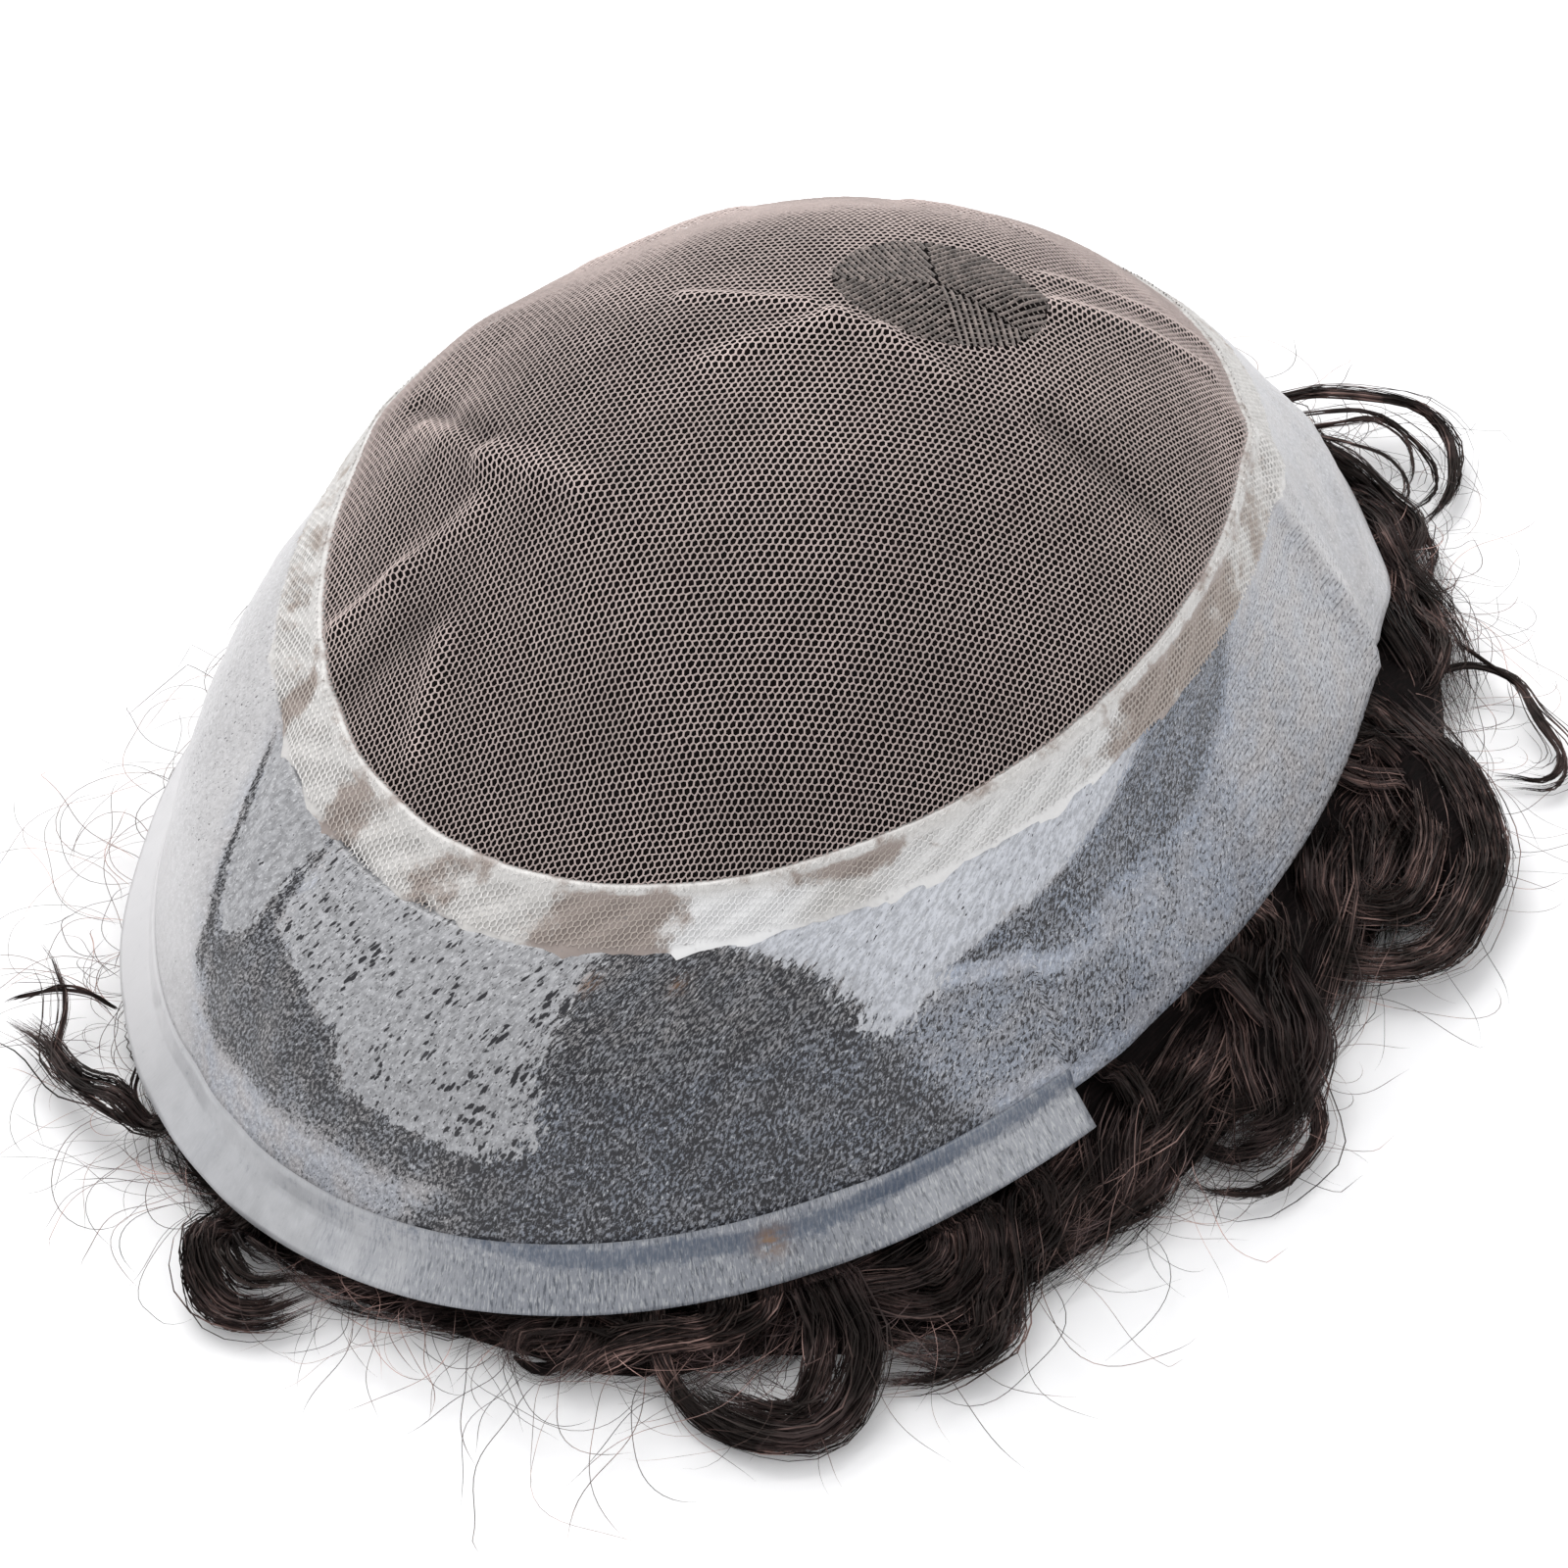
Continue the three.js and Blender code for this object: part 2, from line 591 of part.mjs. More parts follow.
// Closed tube through rings of points, with flat ends
function tubeBody(rows) {
  const points = rows.flat();
  const sides = rows[0].length;
  const faces = [];
  for (let i = 0; i < rows.length - 1; i += 1) {
    for (let j = 0; j < sides; j += 1) {
      const k = (j + 1) % sides;
      const [a, b] = [i * sides + j, i * sides + k];
      const [c, d] = [a + sides, b + sides];
      faces.push(a, c, b, b, c, d);
    }
  }
  const last = (rows.length - 1) * sides;
  for (let j = 1; j < sides - 1; j += 1) {
    faces.push(0, j, j + 1, last, last + j + 1, last + j);
  }
  return geometryOf(points.flatMap((p) => p.toArray()), faces);
}

// Room that the base takes up, with its clearance, so that no lock touches it
function baseRoom() {
  const wall = { outer: LOCK_THICKNESS, inner: hairTop };
  const bandTop = { at: () => ({ station: NET_EDGE, ...wall }) };
  const film = [0, ...SKIRT_SHARES, 1].map((share) => ({
    at: (angle) => ({ station: filmStation(share, angle), ...wall }),
  }));
  const round = solidOf(shell([bandTop, ...film], allRound, { round: true }));
  const flare = STRIP_FLARE + SEAM_GAP;
  const front = stripRows(wall.outer, wall.inner, STRIP_LAP + SEAM_GAP, flare);
  const ends = stripAngles();
  const margin = 2 * stripNotch;
  const wide = [ends[0] - margin, ...ends, ends.at(-1) + margin];
  const behind = [
    { at: () => ({ station: SKIRT_EDGE - ROOM_LAP, ...wall }) },
    { at: () => ({ station: SKIRT_EDGE, ...wall }) },
    { at: () => ({ station: SKIRT_EDGE, ...wall, flare: SEAM_GAP }) },
  ];
  return round
    .add(solidOf(shell(front, wide, { round: false })))
    .add(solidOf(shell(behind, allRound, { round: true })));
}

function belowTable() {
  const size = 2 * (BASE_LENGTH + LOCK_REACH + CURL_RADIUS);
  const slab = new THREE.BoxGeometry(size, size, LOCK_THICKNESS * 2);
  slab.translate(0, 0, -LOCK_THICKNESS);
  return solidOf(slab);
}

// Long hair: the fringe and the locks in one, clear of the base and cut flat where it lies
function rimHair() {
  const locks = LOCKS.map(lockOfHair).reduce((sum, lock) => sum.add(lock));
  const clear = locks.subtract(baseRoom());
  const hair = fringe().add(clear).subtract(belowTable());
  const pieces = hair.decompose();
  pieces.sort((a, b) => b.volume() - a.volume());
  return geometryFrom(pieces[0]);
}

const net = { color: 0x8c7f78, roughness: 0.85, metalness: 0 };
const patch = { color: 0x5b504b, roughness: 0.8, metalness: 0 };
const band = { color: 0xc9c3b8, roughness: 0.35, metalness: 0 };
const film = { color: 0x9aa2ab, roughness: 0.2, metalness: 0 };
const strip = { color: 0xb9c2c8, roughness: 0.15, metalness: 0 };
const hair = { color: 0x1a1210, roughness: 0.45, metalness: 0 };

const PIECES = [
  { name: 'centre_net', make: centreNet, finish: net },
  { name: 'crown_patch', make: crownPatch, finish: patch },
  { name: 'coated_net_band', make: coatedNetBand, finish: band },
  { name: 'poly_skirt', make: polySkirt, finish: film },
  { name: 'front_strip', make: frontStrip, finish: strip },
  { name: 'crown_hair', make: crownHair, finish: hair },
  { name: 'rim_hair', make: rimHair, finish: hair },
];

const hairpiece = new THREE.Group();
for (const { name, make, finish } of PIECES) {
  const mesh = new THREE.Mesh(make(), new THREE.MeshStandardMaterial(finish));
  mesh.name = name;
  hairpiece.add(mesh);
}

// The frame's origin is on the table, under the middle of the whole hairpiece
const extent = new THREE.Box3().setFromObject(hairpiece, true);
const centre = extent.getCenter(new THREE.Vector3());
hairpiece.position.set(-centre.x, -centre.y, -extent.min.z);
hairpiece.updateMatrixWorld(true);

export default hairpiece;
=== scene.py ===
"""Hairpiece base of net and clear film, lying scalp side up on its own curls.

Shapes are worked out in millimetres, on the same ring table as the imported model, and made in metres.
"""

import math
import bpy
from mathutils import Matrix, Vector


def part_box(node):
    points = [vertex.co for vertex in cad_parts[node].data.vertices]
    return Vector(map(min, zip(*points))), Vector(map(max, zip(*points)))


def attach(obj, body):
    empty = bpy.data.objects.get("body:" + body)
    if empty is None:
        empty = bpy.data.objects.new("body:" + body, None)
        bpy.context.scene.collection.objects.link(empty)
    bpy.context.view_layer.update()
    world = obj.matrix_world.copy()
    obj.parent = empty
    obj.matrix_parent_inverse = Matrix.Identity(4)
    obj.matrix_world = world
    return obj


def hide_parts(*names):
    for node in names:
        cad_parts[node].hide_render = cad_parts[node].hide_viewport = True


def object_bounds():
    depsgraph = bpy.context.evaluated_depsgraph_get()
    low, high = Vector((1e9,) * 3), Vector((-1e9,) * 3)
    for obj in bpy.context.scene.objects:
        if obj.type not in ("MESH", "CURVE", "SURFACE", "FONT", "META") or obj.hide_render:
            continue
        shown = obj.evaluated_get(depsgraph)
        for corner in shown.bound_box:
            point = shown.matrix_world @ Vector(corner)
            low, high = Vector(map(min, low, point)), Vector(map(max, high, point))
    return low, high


bl_info = {
    "name": "Net and Film Hairpiece",
    "version": (1, 0, 0),
    "blender": (4, 5, 0),
    "location": "View3D > Sidebar > Hairpiece",
    "description": "Builds a hairpiece base of net and film on its curls, with its stage",
    "category": "Add Mesh",
}

import bpy
import numpy as np
from bpy.props import FloatProperty, FloatVectorProperty, IntProperty, PointerProperty
from mathutils import Matrix, Vector

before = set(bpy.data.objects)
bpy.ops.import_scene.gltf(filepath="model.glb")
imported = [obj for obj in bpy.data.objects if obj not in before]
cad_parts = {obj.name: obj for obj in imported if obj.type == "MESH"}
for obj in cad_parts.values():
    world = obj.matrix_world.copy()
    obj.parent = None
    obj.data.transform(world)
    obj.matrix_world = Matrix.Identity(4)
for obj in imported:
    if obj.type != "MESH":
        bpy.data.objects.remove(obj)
CAD_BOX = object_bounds()

MM = 0.001

# Sizes of the base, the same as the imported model's
BASE_LENGTH, BASE_WIDTH = 196.0, 134.0
NET_LENGTH, NET_WIDTH = 137.0, 103.5
NET_EDGE_HEIGHT, NET_RISE, RIM_HEIGHT = 40.0, 30.5, 13.0
BAND_WIDTH, SEAM_GAP = 8.5, 0.3
STRIP_LAP, STRIP_FLARE, STRIP_FLARE_ANGLE, STRIP_END_ANGLE = 3.6, 5.6, 45.0, 15.0
FOLD_HEIGHT, FOLD_WIDTH = 1.6, 6.0
PATCH_LENGTH, PATCH_WIDTH, PATCH_RIGHT, PATCH_BACK, PATCH_TURN = 27.0, 22.0, 6.5, 21.0, 38.0
LOCK_REACH, LOCK_WIDTH, LOCK_THICKNESS, CURL_RADIUS = 20.0, 15.0, 9.5, 9.0
HAIR_TOP = -1.7
# Length round the rim, and depth of the film and of the strip's comb, for the materials
RIM_LENGTH, FILM_DEPTH, COMB_DEPTH = 527.0, 46.0, 1.6
NET_TURN = math.radians(6.0)
# Camera, fitted to the photograph: degrees, metres, and the lens in pixels of the image
CAMERA_AZIMUTH, CAMERA_ELEVATION, CAMERA_DISTANCE = 39.796, 45.939, 0.62555
FOCAL_PIXELS, IMAGE_SIDE = 4767.16, 1600

# Rings of the skirt: long, wide, height, sway, tilt, back, round, egg
SKIRT_RINGS = (
    (0.0, 0.0, 1.0, 0.103, -0.008, 0.0138, 1.94, -0.09),
    (0.59, 0.44, 0.64, 0.071, 0.002, -0.0148, 1.99, -0.07),
    (1.0, 1.0, 0.0, 0.039, 0.012, 0.0064, 2.04, -0.05),
)
# Rings of the net: share of its edge's outline, share of the way up
NET_RINGS = ((0.45, 0.86), (0.78, 0.44))
NET_EDGE, SKIRT_EDGE = 3.0, 5.0
NET_MIDDLE = SKIRT_RINGS[0][5] * BASE_LENGTH

# Folds and dents: x1, y1, x2, y2 in shares of half the base, then height and width
FOLDS = (
    (-0.43, -0.28, -0.07, -0.31, 0.75, 0.9),
    (-0.19, -0.05, 0.15, 0.06, 0.5, 1.0),
    (0.02, 0.1, 0.32, 0.44, 0.45, 0.8),
    (-0.42, -0.43, 0.06, -0.51, -1.0, 1.4),
    (-0.7, -0.2, -0.66, -0.08, 0.9, 1.3),
    (-0.6, 0.3, -0.45, 0.45, 0.6, 1.4),
    (0.54, 0.54, 0.7, 0.6, 1.0, 0.8),
    (0.37, 0.82, 0.66, 0.76, 1.0, 0.8),
    (-0.46, -0.68, -0.28, -0.9, -0.9, 0.8),
    (-0.19, -0.76, -0.15, -0.92, -0.8, 0.8),
    (0.8, -0.5, 0.93, -0.16, 0.75, 0.8),
)
# Smaller creases that only the eye needs
CREASES = (
    (-0.55, -0.27, -0.32, -0.32, 0.35, 0.3),
    (-0.32, -0.32, -0.1, -0.32, 0.6, 0.3),
    (-0.46, -0.52, -0.39, -0.46, 0.5, 0.24),
    (-0.39, -0.46, -0.29, -0.38, 0.45, 0.3),
    (-0.2, -0.51, -0.13, -0.62, 0.45, 0.26),
    (-0.08, -0.09, 0.03, 0.06, 0.4, 0.26),
    (0.03, 0.06, 0.12, 0.08, 0.5, 0.26),
    (0.12, 0.08, 0.27, 0.09, 0.4, 0.24),
    (-0.24, -0.01, -0.04, 0.06, 0.45, 0.22),
    (0.21, 0.28, 0.38, 0.55, 0.5, 0.22),
    (0.17, 0.37, 0.3, 0.62, 0.4, 0.22),
    (0.42, 0.16, 0.63, 0.22, -0.35, 0.4),
    (-0.62, -0.23, -0.35, -0.3, -0.4, 0.26),
    (-0.36, -0.6, -0.28, -0.5, -0.4, 0.5),
    (-0.62, 0.1, -0.5, 0.3, 0.34, 0.35),
    (-0.2, 0.42, 0.02, 0.5, 0.3, 0.35),
    (0.6, 0.5, 0.76, 0.62, 0.5, 0.22),
    (0.55, 0.66, 0.74, 0.66, -0.4, 0.2),
    (0.5, 0.76, 0.68, 0.7, 0.45, 0.18),
    (-0.4, -0.6, -0.3, -0.8, 0.35, 0.3),
    (0.05, -0.75, 0.3, -0.8, 0.25, 0.7),
    (0.45, -0.7, 0.62, -0.6, -0.25, 0.8),
    (-0.75, -0.4, -0.6, -0.62, 0.25, 0.9),
)

# Locks: root, swing, reach, radius, start, sweep, lift, girth
LOCKS = (
    (88, -16, 0.55, 0.78, 80, -170, 1.1, 0.4),
    (73, -20, 0.1, 0.45, 70, -120, 0.7, 0.45),
    (58, -17, 0.1, 0.5, 60, -130, 0.6, 0.45),
    (50, -14, 0.8, 0.8, 80, -190, 0.5, 0.3),
    (40, -17, 0.5, 0.75, 80, -250, 0.7, 0.85),
    (24, -12, 0.1, 0.4, 70, -150, 0.7, 0.5),
    (12, -17, 0.6, 0.6, 80, -250, 0.7, 0.6),
    (-6, -12, 0.3, 0.5, 70, -140, 0.6, 0.6),
    (-18, -12, 0.5, 0.6, 80, -180, 0.5, 0.6),
    (-36, -12, 0.65, 0.75, 80, -240, 0.5, 0.6),
    (-54, -8, 0.15, 0.5, 70, -120, 0.4, 0.5),
    (-80, -7, 0.11, 0.75, 90, -230, 0.4, 0.4),
    (-105, -15, 0.45, 0.75, 60, -110, 0.9, 0.4),
    (-128, -8, -0.35, 0.5, 75, -190, 0.4, 0.5),
    (-146, -9, -0.35, 0.6, 80, -220, 0.5, 0.6),
    (-163, -9, -0.3, 0.6, 70, -170, 0.5, 0.6),
    (180, -8, -0.2, 0.7, 80, -230, 0.5, 0.7),
    (162, -9, 0, 0.7, 70, -180, 0.5, 0.7),
    (143, -8, 0.05, 0.7, 80, -230, 0.5, 0.7),
    (126, -9, 0, 0.7, 70, -160, 0.5, 0.7),
    (108, -8, -0.05, 0.7, 80, -210, 0.5, 0.6),
)
LOCK_WAY = ((0.1, 0.0, 1.0, 0.5), (0.5, 0.4, 0.0, 1.0))
CURL_SHARES = (0.0, 0.25, 0.5, 0.75, 1.0)
CURL_REST, LOCK_TIP, LOCK_ROOT = 0.8, 0.6, 4.5

# Tresses over the locks: width, thickness, strands, warmth, rooted, then angle, beyond the rim, height
TRESSES = (
    (2, 1.2, 60, 0.6, 1, (
        (83.8, 2.2, 12), (81, 6.3, 11), (79, 15.2, 8), (76.2, 21.1, 6), (72.8, 22.5, 4),
        (68.8, 19.5, 3),
        (65.2, 13.4, 3), (61.5, 5.6, 3))),
    (0.8, 0.6, 16, 0.5, 1, (
        (81.2, 0.7, 12), (78.5, 7.2, 10), (76.8, 14.6, 7), (72.8, 17.4, 5), (69.2, 17, 3),
        (66.2, 11.8, 3),
        (64.8, 4.2, 3))),
    (1, 0.8, 24, 0.3, 1, (
        (78.2, -0.3, 12), (76.8, 5.7, 10), (76, 12.8, 8), (73.2, 15.4, 6), (69.5, 13.2, 4),
        (67, 8.4, 3))),
    (0.8, 0.6, 12, 0.5, 1, (
        (77.5, 0.1, 11), (74.2, 5.2, 9), (71.5, 11.3, 6), (68.5, 11.6, 4), (64.2, 6.2, 3))),
    (3.6, 2.4, 80, 0.4, 1, (
        (73.5, 1.2, 11), (69.5, 4.1, 8), (66, 6.9, 6), (63, 8.8, 5), (57.8, 5.6, 4),
        (52.5, 3.2, 4))),
    (3, 2.4, 60, 0.5, 1, (
        (61, 0.9, 9), (55.8, 4, 7), (51, 5.2, 6), (47.2, 8.6, 6), (43, 8.7, 5), (39.2, 5.3, 5),
        (34.8, 3.5, 5))),
    (3, 2.4, 60, 0.8, 1, (
        (57.2, 2.4, 9), (53, 4.1, 7), (47, 2.1, 6), (40.8, 3.7, 6), (37.5, 6.9, 5),
        (33, 6.6, 6))),
    (1.8, 1.6, 34, 0.5, 1, (
        (55, 3.9, 6), (51.5, 8, 6), (46.8, 9.9, 6), (42.5, 8.3, 5), (41, 4.4, 5))),
    (1.4, 1.2, 18, 0.7, 1, (
        (63.8, 9.4, 5), (60, 10.9, 4), (55, 8.2, 4), (55.5, 12.2, 3), (59, 14.6, 3))),
    (1.2, 0.9, 30, 0.3, 0, (
        (43, 6.9, 5), (44.8, 12.9, 5), (44.2, 18.4, 4), (40.5, 22.6, 4), (36.8, 26.2, 3),
        (35, 24.4, 2),
        (34.5, 19.9, 2), (34, 15.9, 3))),
    (0.6, 0.5, 12, 0.4, 0, (
        (48, 10.4, 5), (45.8, 14.3, 5), (42.2, 21.1, 4), (37.2, 26.6, 3), (34.5, 25.8, 2),
        (33.5, 21.5, 2),
        (33, 17, 2))),
    (6, 4, 170, 0.8, 1, (
        (30.8, 1, 9), (31.5, 8.1, 9), (29.8, 14.5, 8), (26, 18.6, 7), (22, 20.9, 6),
        (17.8, 21.1, 5),
        (14, 18.5, 5), (12, 13.4, 4), (11.2, 7, 4), (11.8, 1.1, 4))),
    (4, 3, 90, 1, 1, (
        (26.5, 1.3, 10), (28, 7.5, 9), (25, 12.2, 8), (20.8, 14.1, 7), (16.8, 12.2, 6),
        (15.5, 7.7, 6),
        (18.5, 2.8, 6), (22.8, 1.7, 7), (23.8, 4.1, 8))),
    (5, 3, 110, 1, 1, (
        (29.2, 2.3, 9), (23.8, 1.1, 8), (18.8, 2.4, 7), (14, 3.2, 6), (8.2, 3.3, 5),
        (2.5, 4.8, 5))),
    (5, 3, 110, 0.9, 1, ((34, 1, 10), (31.5, 6, 9), (28, 10, 9), (23.5, 12.5, 8), (18.5, 13, 7))),
    (3.4, 2.6, 60, 0.5, 1, (
        (29.5, 7.5, 8), (23.8, 8.3, 7), (18.8, 8, 6), (14.2, 4.3, 6), (10.8, 1.8, 5))),
    (4.6, 3.4, 120, 0, 1, (
        (8, 1.1, 8), (6.2, 7, 8), (3, 13.1, 8), (-0.8, 17.1, 7), (-4, 17.4, 6), (-7, 14.7, 6),
        (-9, 10, 5))),
    (2.6, 2, 60, 0.7, 1, (
        (0.5, 16.2, 5), (-2.2, 21, 4), (-5.2, 23.1, 3), (-8.2, 21.7, 3), (-10.8, 17.8, 3),
        (-11.2, 12.9, 3),
        (-10.5, 9.5, 3))),
    (3.4, 2.6, 70, 0.1, 1, (
        (2.8, 8.2, 7), (0.2, 13.2, 7), (-3.5, 14.5, 7), (-6, 11.8, 6), (-7, 7.6, 6))),
    (4.2, 2.6, 130, 1.2, 1, (
        (8.2, 2.2, 9), (2.8, 4, 8), (-3.2, 6.4, 8), (-9.5, 7.4, 7), (-15.2, 7.2, 6),
        (-20, 7.3, 5),
        (-24.8, 11.4, 4))),
    (4.4, 2.6, 110, 0.9, 1, (
        (5.5, -0.6, 9), (-1, 1.2, 8), (-7.5, 2.9, 8), (-13.5, 3.8, 6), (-19, 5.2, 5),
        (-24.2, 6.9, 4))),
    (4.4, 2.6, 90, 0.7, 1, (
        (-1.5, -1.3, 9), (-7.8, -1, 8), (-13.8, 1.2, 7), (-20, 3.4, 6), (-26.2, 5.5, 5))),
    (4, 3, 80, 0.4, 1, (
        (-10.8, 8.6, 5), (-14, 12.3, 4), (-17.2, 12.1, 3), (-20.5, 10.2, 3), (-22.5, 6.9, 4),
        (-25.5, 3.4, 5))),
    (4.2, 3.4, 100, 0.4, 1, (
        (-21.5, 7.4, 6), (-26.2, 11.6, 6), (-29.2, 15.2, 6), (-30.2, 18.7, 5), (-32.2, 19.2, 4),
        (-34.8, 16.5, 4), (-37.2, 13.4, 5), (-39, 10.1, 6))),
    (2.4, 2, 60, 0.6, 1, (
        (-25.5, 10.7, 4), (-27.8, 16, 3), (-30.2, 19.8, 3), (-33, 19.4, 2), (-36.5, 17.9, 2),
        (-39.2, 17.4, 2), (-41.2, 19.3, 2))),
    (4.2, 3, 100, 0.5, 1, (
        (-28, 9.7, 7), (-31.2, 12.4, 6), (-34.2, 10.5, 6), (-36.8, 7.2, 6), (-40, 7.8, 6),
        (-43, 10.2, 5))),
    (3.4, 2.4, 70, 0.5, 1, (
        (-30.2, 6.6, 8), (-32.8, 7.5, 7), (-35.8, 6.8, 7), (-38.5, 5.5, 6), (-41.5, 7.7, 5))),
    (4.6, 3.6, 150, 0, 1, (
        (-38.5, 8.1, 8), (-38.5, 14.4, 6), (-40.5, 19.6, 4), (-43.2, 21.7, 3), (-46.2, 20.6, 3),
        (-49, 17.4, 3), (-51, 11.5, 3), (-52, 8, 5))),
    (3.4, 2.4, 80, 0.1, 1, (
        (-40.8, 9.7, 7), (-41.8, 15.3, 5), (-43.8, 18, 3), (-46.8, 16.8, 3), (-49.5, 12.8, 3),
        (-50.5, 8.8, 4))),
    (2.2, 1.4, 60, 0.6, 1, (
        (-52.5, 8.6, 4), (-50.8, 14.9, 2), (-47.8, 20.6, 2), (-44.8, 22.4, 2), (-41.8, 20.6, 2),
        (-39.2, 18.2, 3))),
    (4.4, 3, 120, 0.8, 1, (
        (-48, 5.5, 8), (-52.5, 5.8, 7), (-56.5, 6.6, 5), (-59.8, 9.4, 4), (-61.2, 10.9, 3))),
    (4, 3, 90, 0.4, 1, (
        (-54.2, 4.3, 8), (-59, 4.3, 7), (-63.5, 4.9, 5), (-63.8, 7.5, 4), (-61.2, 10.9, 3))),
    (3, 2, 60, 0.6, 1, ((-44.2, 6.3, 7), (-49.5, 7.3, 6), (-53.5, 7.7, 5), (-57.8, 8.4, 3))),
    (4.8, 3.4, 140, 0.4, 1, (
        (-93.8, 4.9, 9), (-93.5, 9.4, 7), (-91.5, 12.6, 5), (-88.8, 13.2, 3), (-85.5, 11.2, 3),
        (-83.2, 7.2, 4), (-81.5, 3.4, 6))),
    (2.6, 2, 60, 0.5, 1, (
        (-92.2, 4.5, 9), (-91, 8.8, 7), (-87.8, 9.6, 6), (-84.8, 6.6, 6), (-82, 4, 8))),
    (2.2, 1.8, 40, 0.3, 1, ((-91, 3.5, 9), (-90, 6.7, 8), (-87.2, 6.7, 7), (-84.5, 4.6, 7))),
    (2.8, 2, 70, 0.4, 1, (
        (-108, 4.5, 10), (-110.8, 7.5, 8), (-114.5, 10.6, 6), (-119.2, 13.9, 5),
        (-122.5, 17.4, 4),
        (-124.8, 19.7, 3))),
    (1.4, 1, 34, 0.5, 1, (
        (-107.8, 4.3, 9), (-110.8, 8.9, 6), (-114.2, 11.7, 5), (-118, 12.9, 5), (-121.5, 12, 6),
        (-124.5, 11.2, 7), (-127.8, 13.2, 7), (-128.8, 15.1, 7))),
    (0.8, 0.6, 14, 0.5, 0, (
        (-121.8, 4.6, 10), (-124.2, 12, 7), (-124.5, 17, 5), (-124.2, 19.4, 4))),
    (1.2, 1, 16, 0.4, 1, ((-114, 4.6, 11), (-111, 5.2, 9), (-109, 4.4, 8), (-105.2, 3.3, 8))),
)
# Locks that tresses stand for, and the girth from which a lock has a core
TRACED, CORE_GIRTH = (88, 50, -36, -80, -105), 0.42
# Points along a lock's line and along each kind of strand, and strands in a clump
LINE_STEPS, LOCK_STEPS, TRESS_STEPS, FRINGE_STEPS, STRAY_STEPS, CLUMP = 96, 20, 22, 11, 20, 12

# How far the hair lies out on the table, share of the reach, at angles round the rim
SPREAD = (
    (-180, 0.1),
    (-140, 0),
    (-112, 0),
    (-88, 0),
    (-72, 0),
    (-64, 0.1),
    (-57, 0.25),
    (-52, 0.3),
    (-45, 0.25),
    (-36, 0.5),
    (-15, 0.5),
    (12, 0.4),
    (35, 0.45),
    (60, 0.25),
    (90, 0.15),
    (140, 0.3),
    (180, 0.1),
)


def mix(a, b, share):
    return a + (b - a) * share


def half_turn(angle):
    """Angles brought into -180 to 180 degrees."""
    return (np.asarray(angle, float) + 180) % 360 - 180


def smoothstep(low, high, value):
    t = np.clip((value - low) / (high - low), 0.0, 1.0)
    return t * t * (3 - 2 * t)


def unit(vectors):
    return vectors / (np.linalg.norm(vectors, axis=-1, keepdims=True) + 1e-12)


# ---------------------------------------------------------------- surface of the base


def ring_point(ring, angle):
    """Outline of one ring of the base, at angles in degrees."""
    long, wide, height, sway, tilt, back, power, egg = ring
    c, s = np.cos(np.radians(angle)), np.sin(np.radians(angle))
    r = (np.abs(c) ** power + np.abs(s) ** power) ** (-1 / power)
    half_width = mix(NET_WIDTH, BASE_WIDTH, wide) / 2
    half_length = mix(NET_LENGTH, BASE_LENGTH, long) / 2
    wave = sway * np.cos(np.radians(2 * angle)) + tilt * s
    return np.stack([
        half_width * r * c * (1 + egg * s),
        back * BASE_LENGTH + half_length * r * s,
        RIM_HEIGHT + NET_EDGE_HEIGHT * (height + wave),
    ], -1)


def station_rows(angle):
    """Points of the ring table at the stations -1 to 6."""
    top = np.array([0.0, NET_MIDDLE, RIM_HEIGHT + NET_EDGE_HEIGHT + NET_RISE])

    def net_ring(row, around):
        plan, rise = NET_RINGS[row]
        edge = ring_point(SKIRT_RINGS[0], around)
        return np.stack([
            edge[..., 0] * plan,
            mix(NET_MIDDLE, edge[..., 1], plan),
            mix(edge[..., 2], top[2], rise),
        ], -1)

    rows = [net_ring(0, angle + 180.0), np.broadcast_to(top, angle.shape + (3,))]
    rows += [net_ring(0, angle), net_ring(1, angle)]
    rows += [ring_point(ring, angle) for ring in SKIRT_RINGS]
    rows.append(2 * rows[-1] - rows[-2])
    return np.stack(rows)


def smooth_point(station, angle):
    """Smooth outer surface of the base, without folds, in the part's own millimetres."""
    station, angle = np.broadcast_arrays(np.asarray(station, float), np.asarray(angle, float))
    rows = station_rows(angle)
    first = np.clip(np.floor(station), 0, 4).astype(int)
    t = (station - first)[..., None]
    a, b, c, d = (
        np.take_along_axis(rows, (first + k)[None, ..., None], 0)[0] for k in range(4)
    )
    return 0.5 * (
        2 * b + (c - a) * t + (2 * a - 5 * b + 4 * c - d) * t ** 2
        + (3 * b - a - 3 * c + d) * t ** 3
    )


def outward(angle):
    """Direction that points straight out of the rim, seen from above."""
    along = smooth_point(SKIRT_EDGE, angle + 1.0) - smooth_point(SKIRT_EDGE, angle - 1.0)
    return unit(np.stack([along[..., 1], -along[..., 0], 0 * along[..., 0]], -1))


def normal_at(station, angle):
    low = np.clip(station + 0.02, 0.04, SKIRT_EDGE)
    down = smooth_point(low, angle) - smooth_point(low - 0.04, angle)
    around = smooth_point(low, angle + 1.0) - smooth_point(low, angle - 1.0)
    return unit(np.cross(down, around))


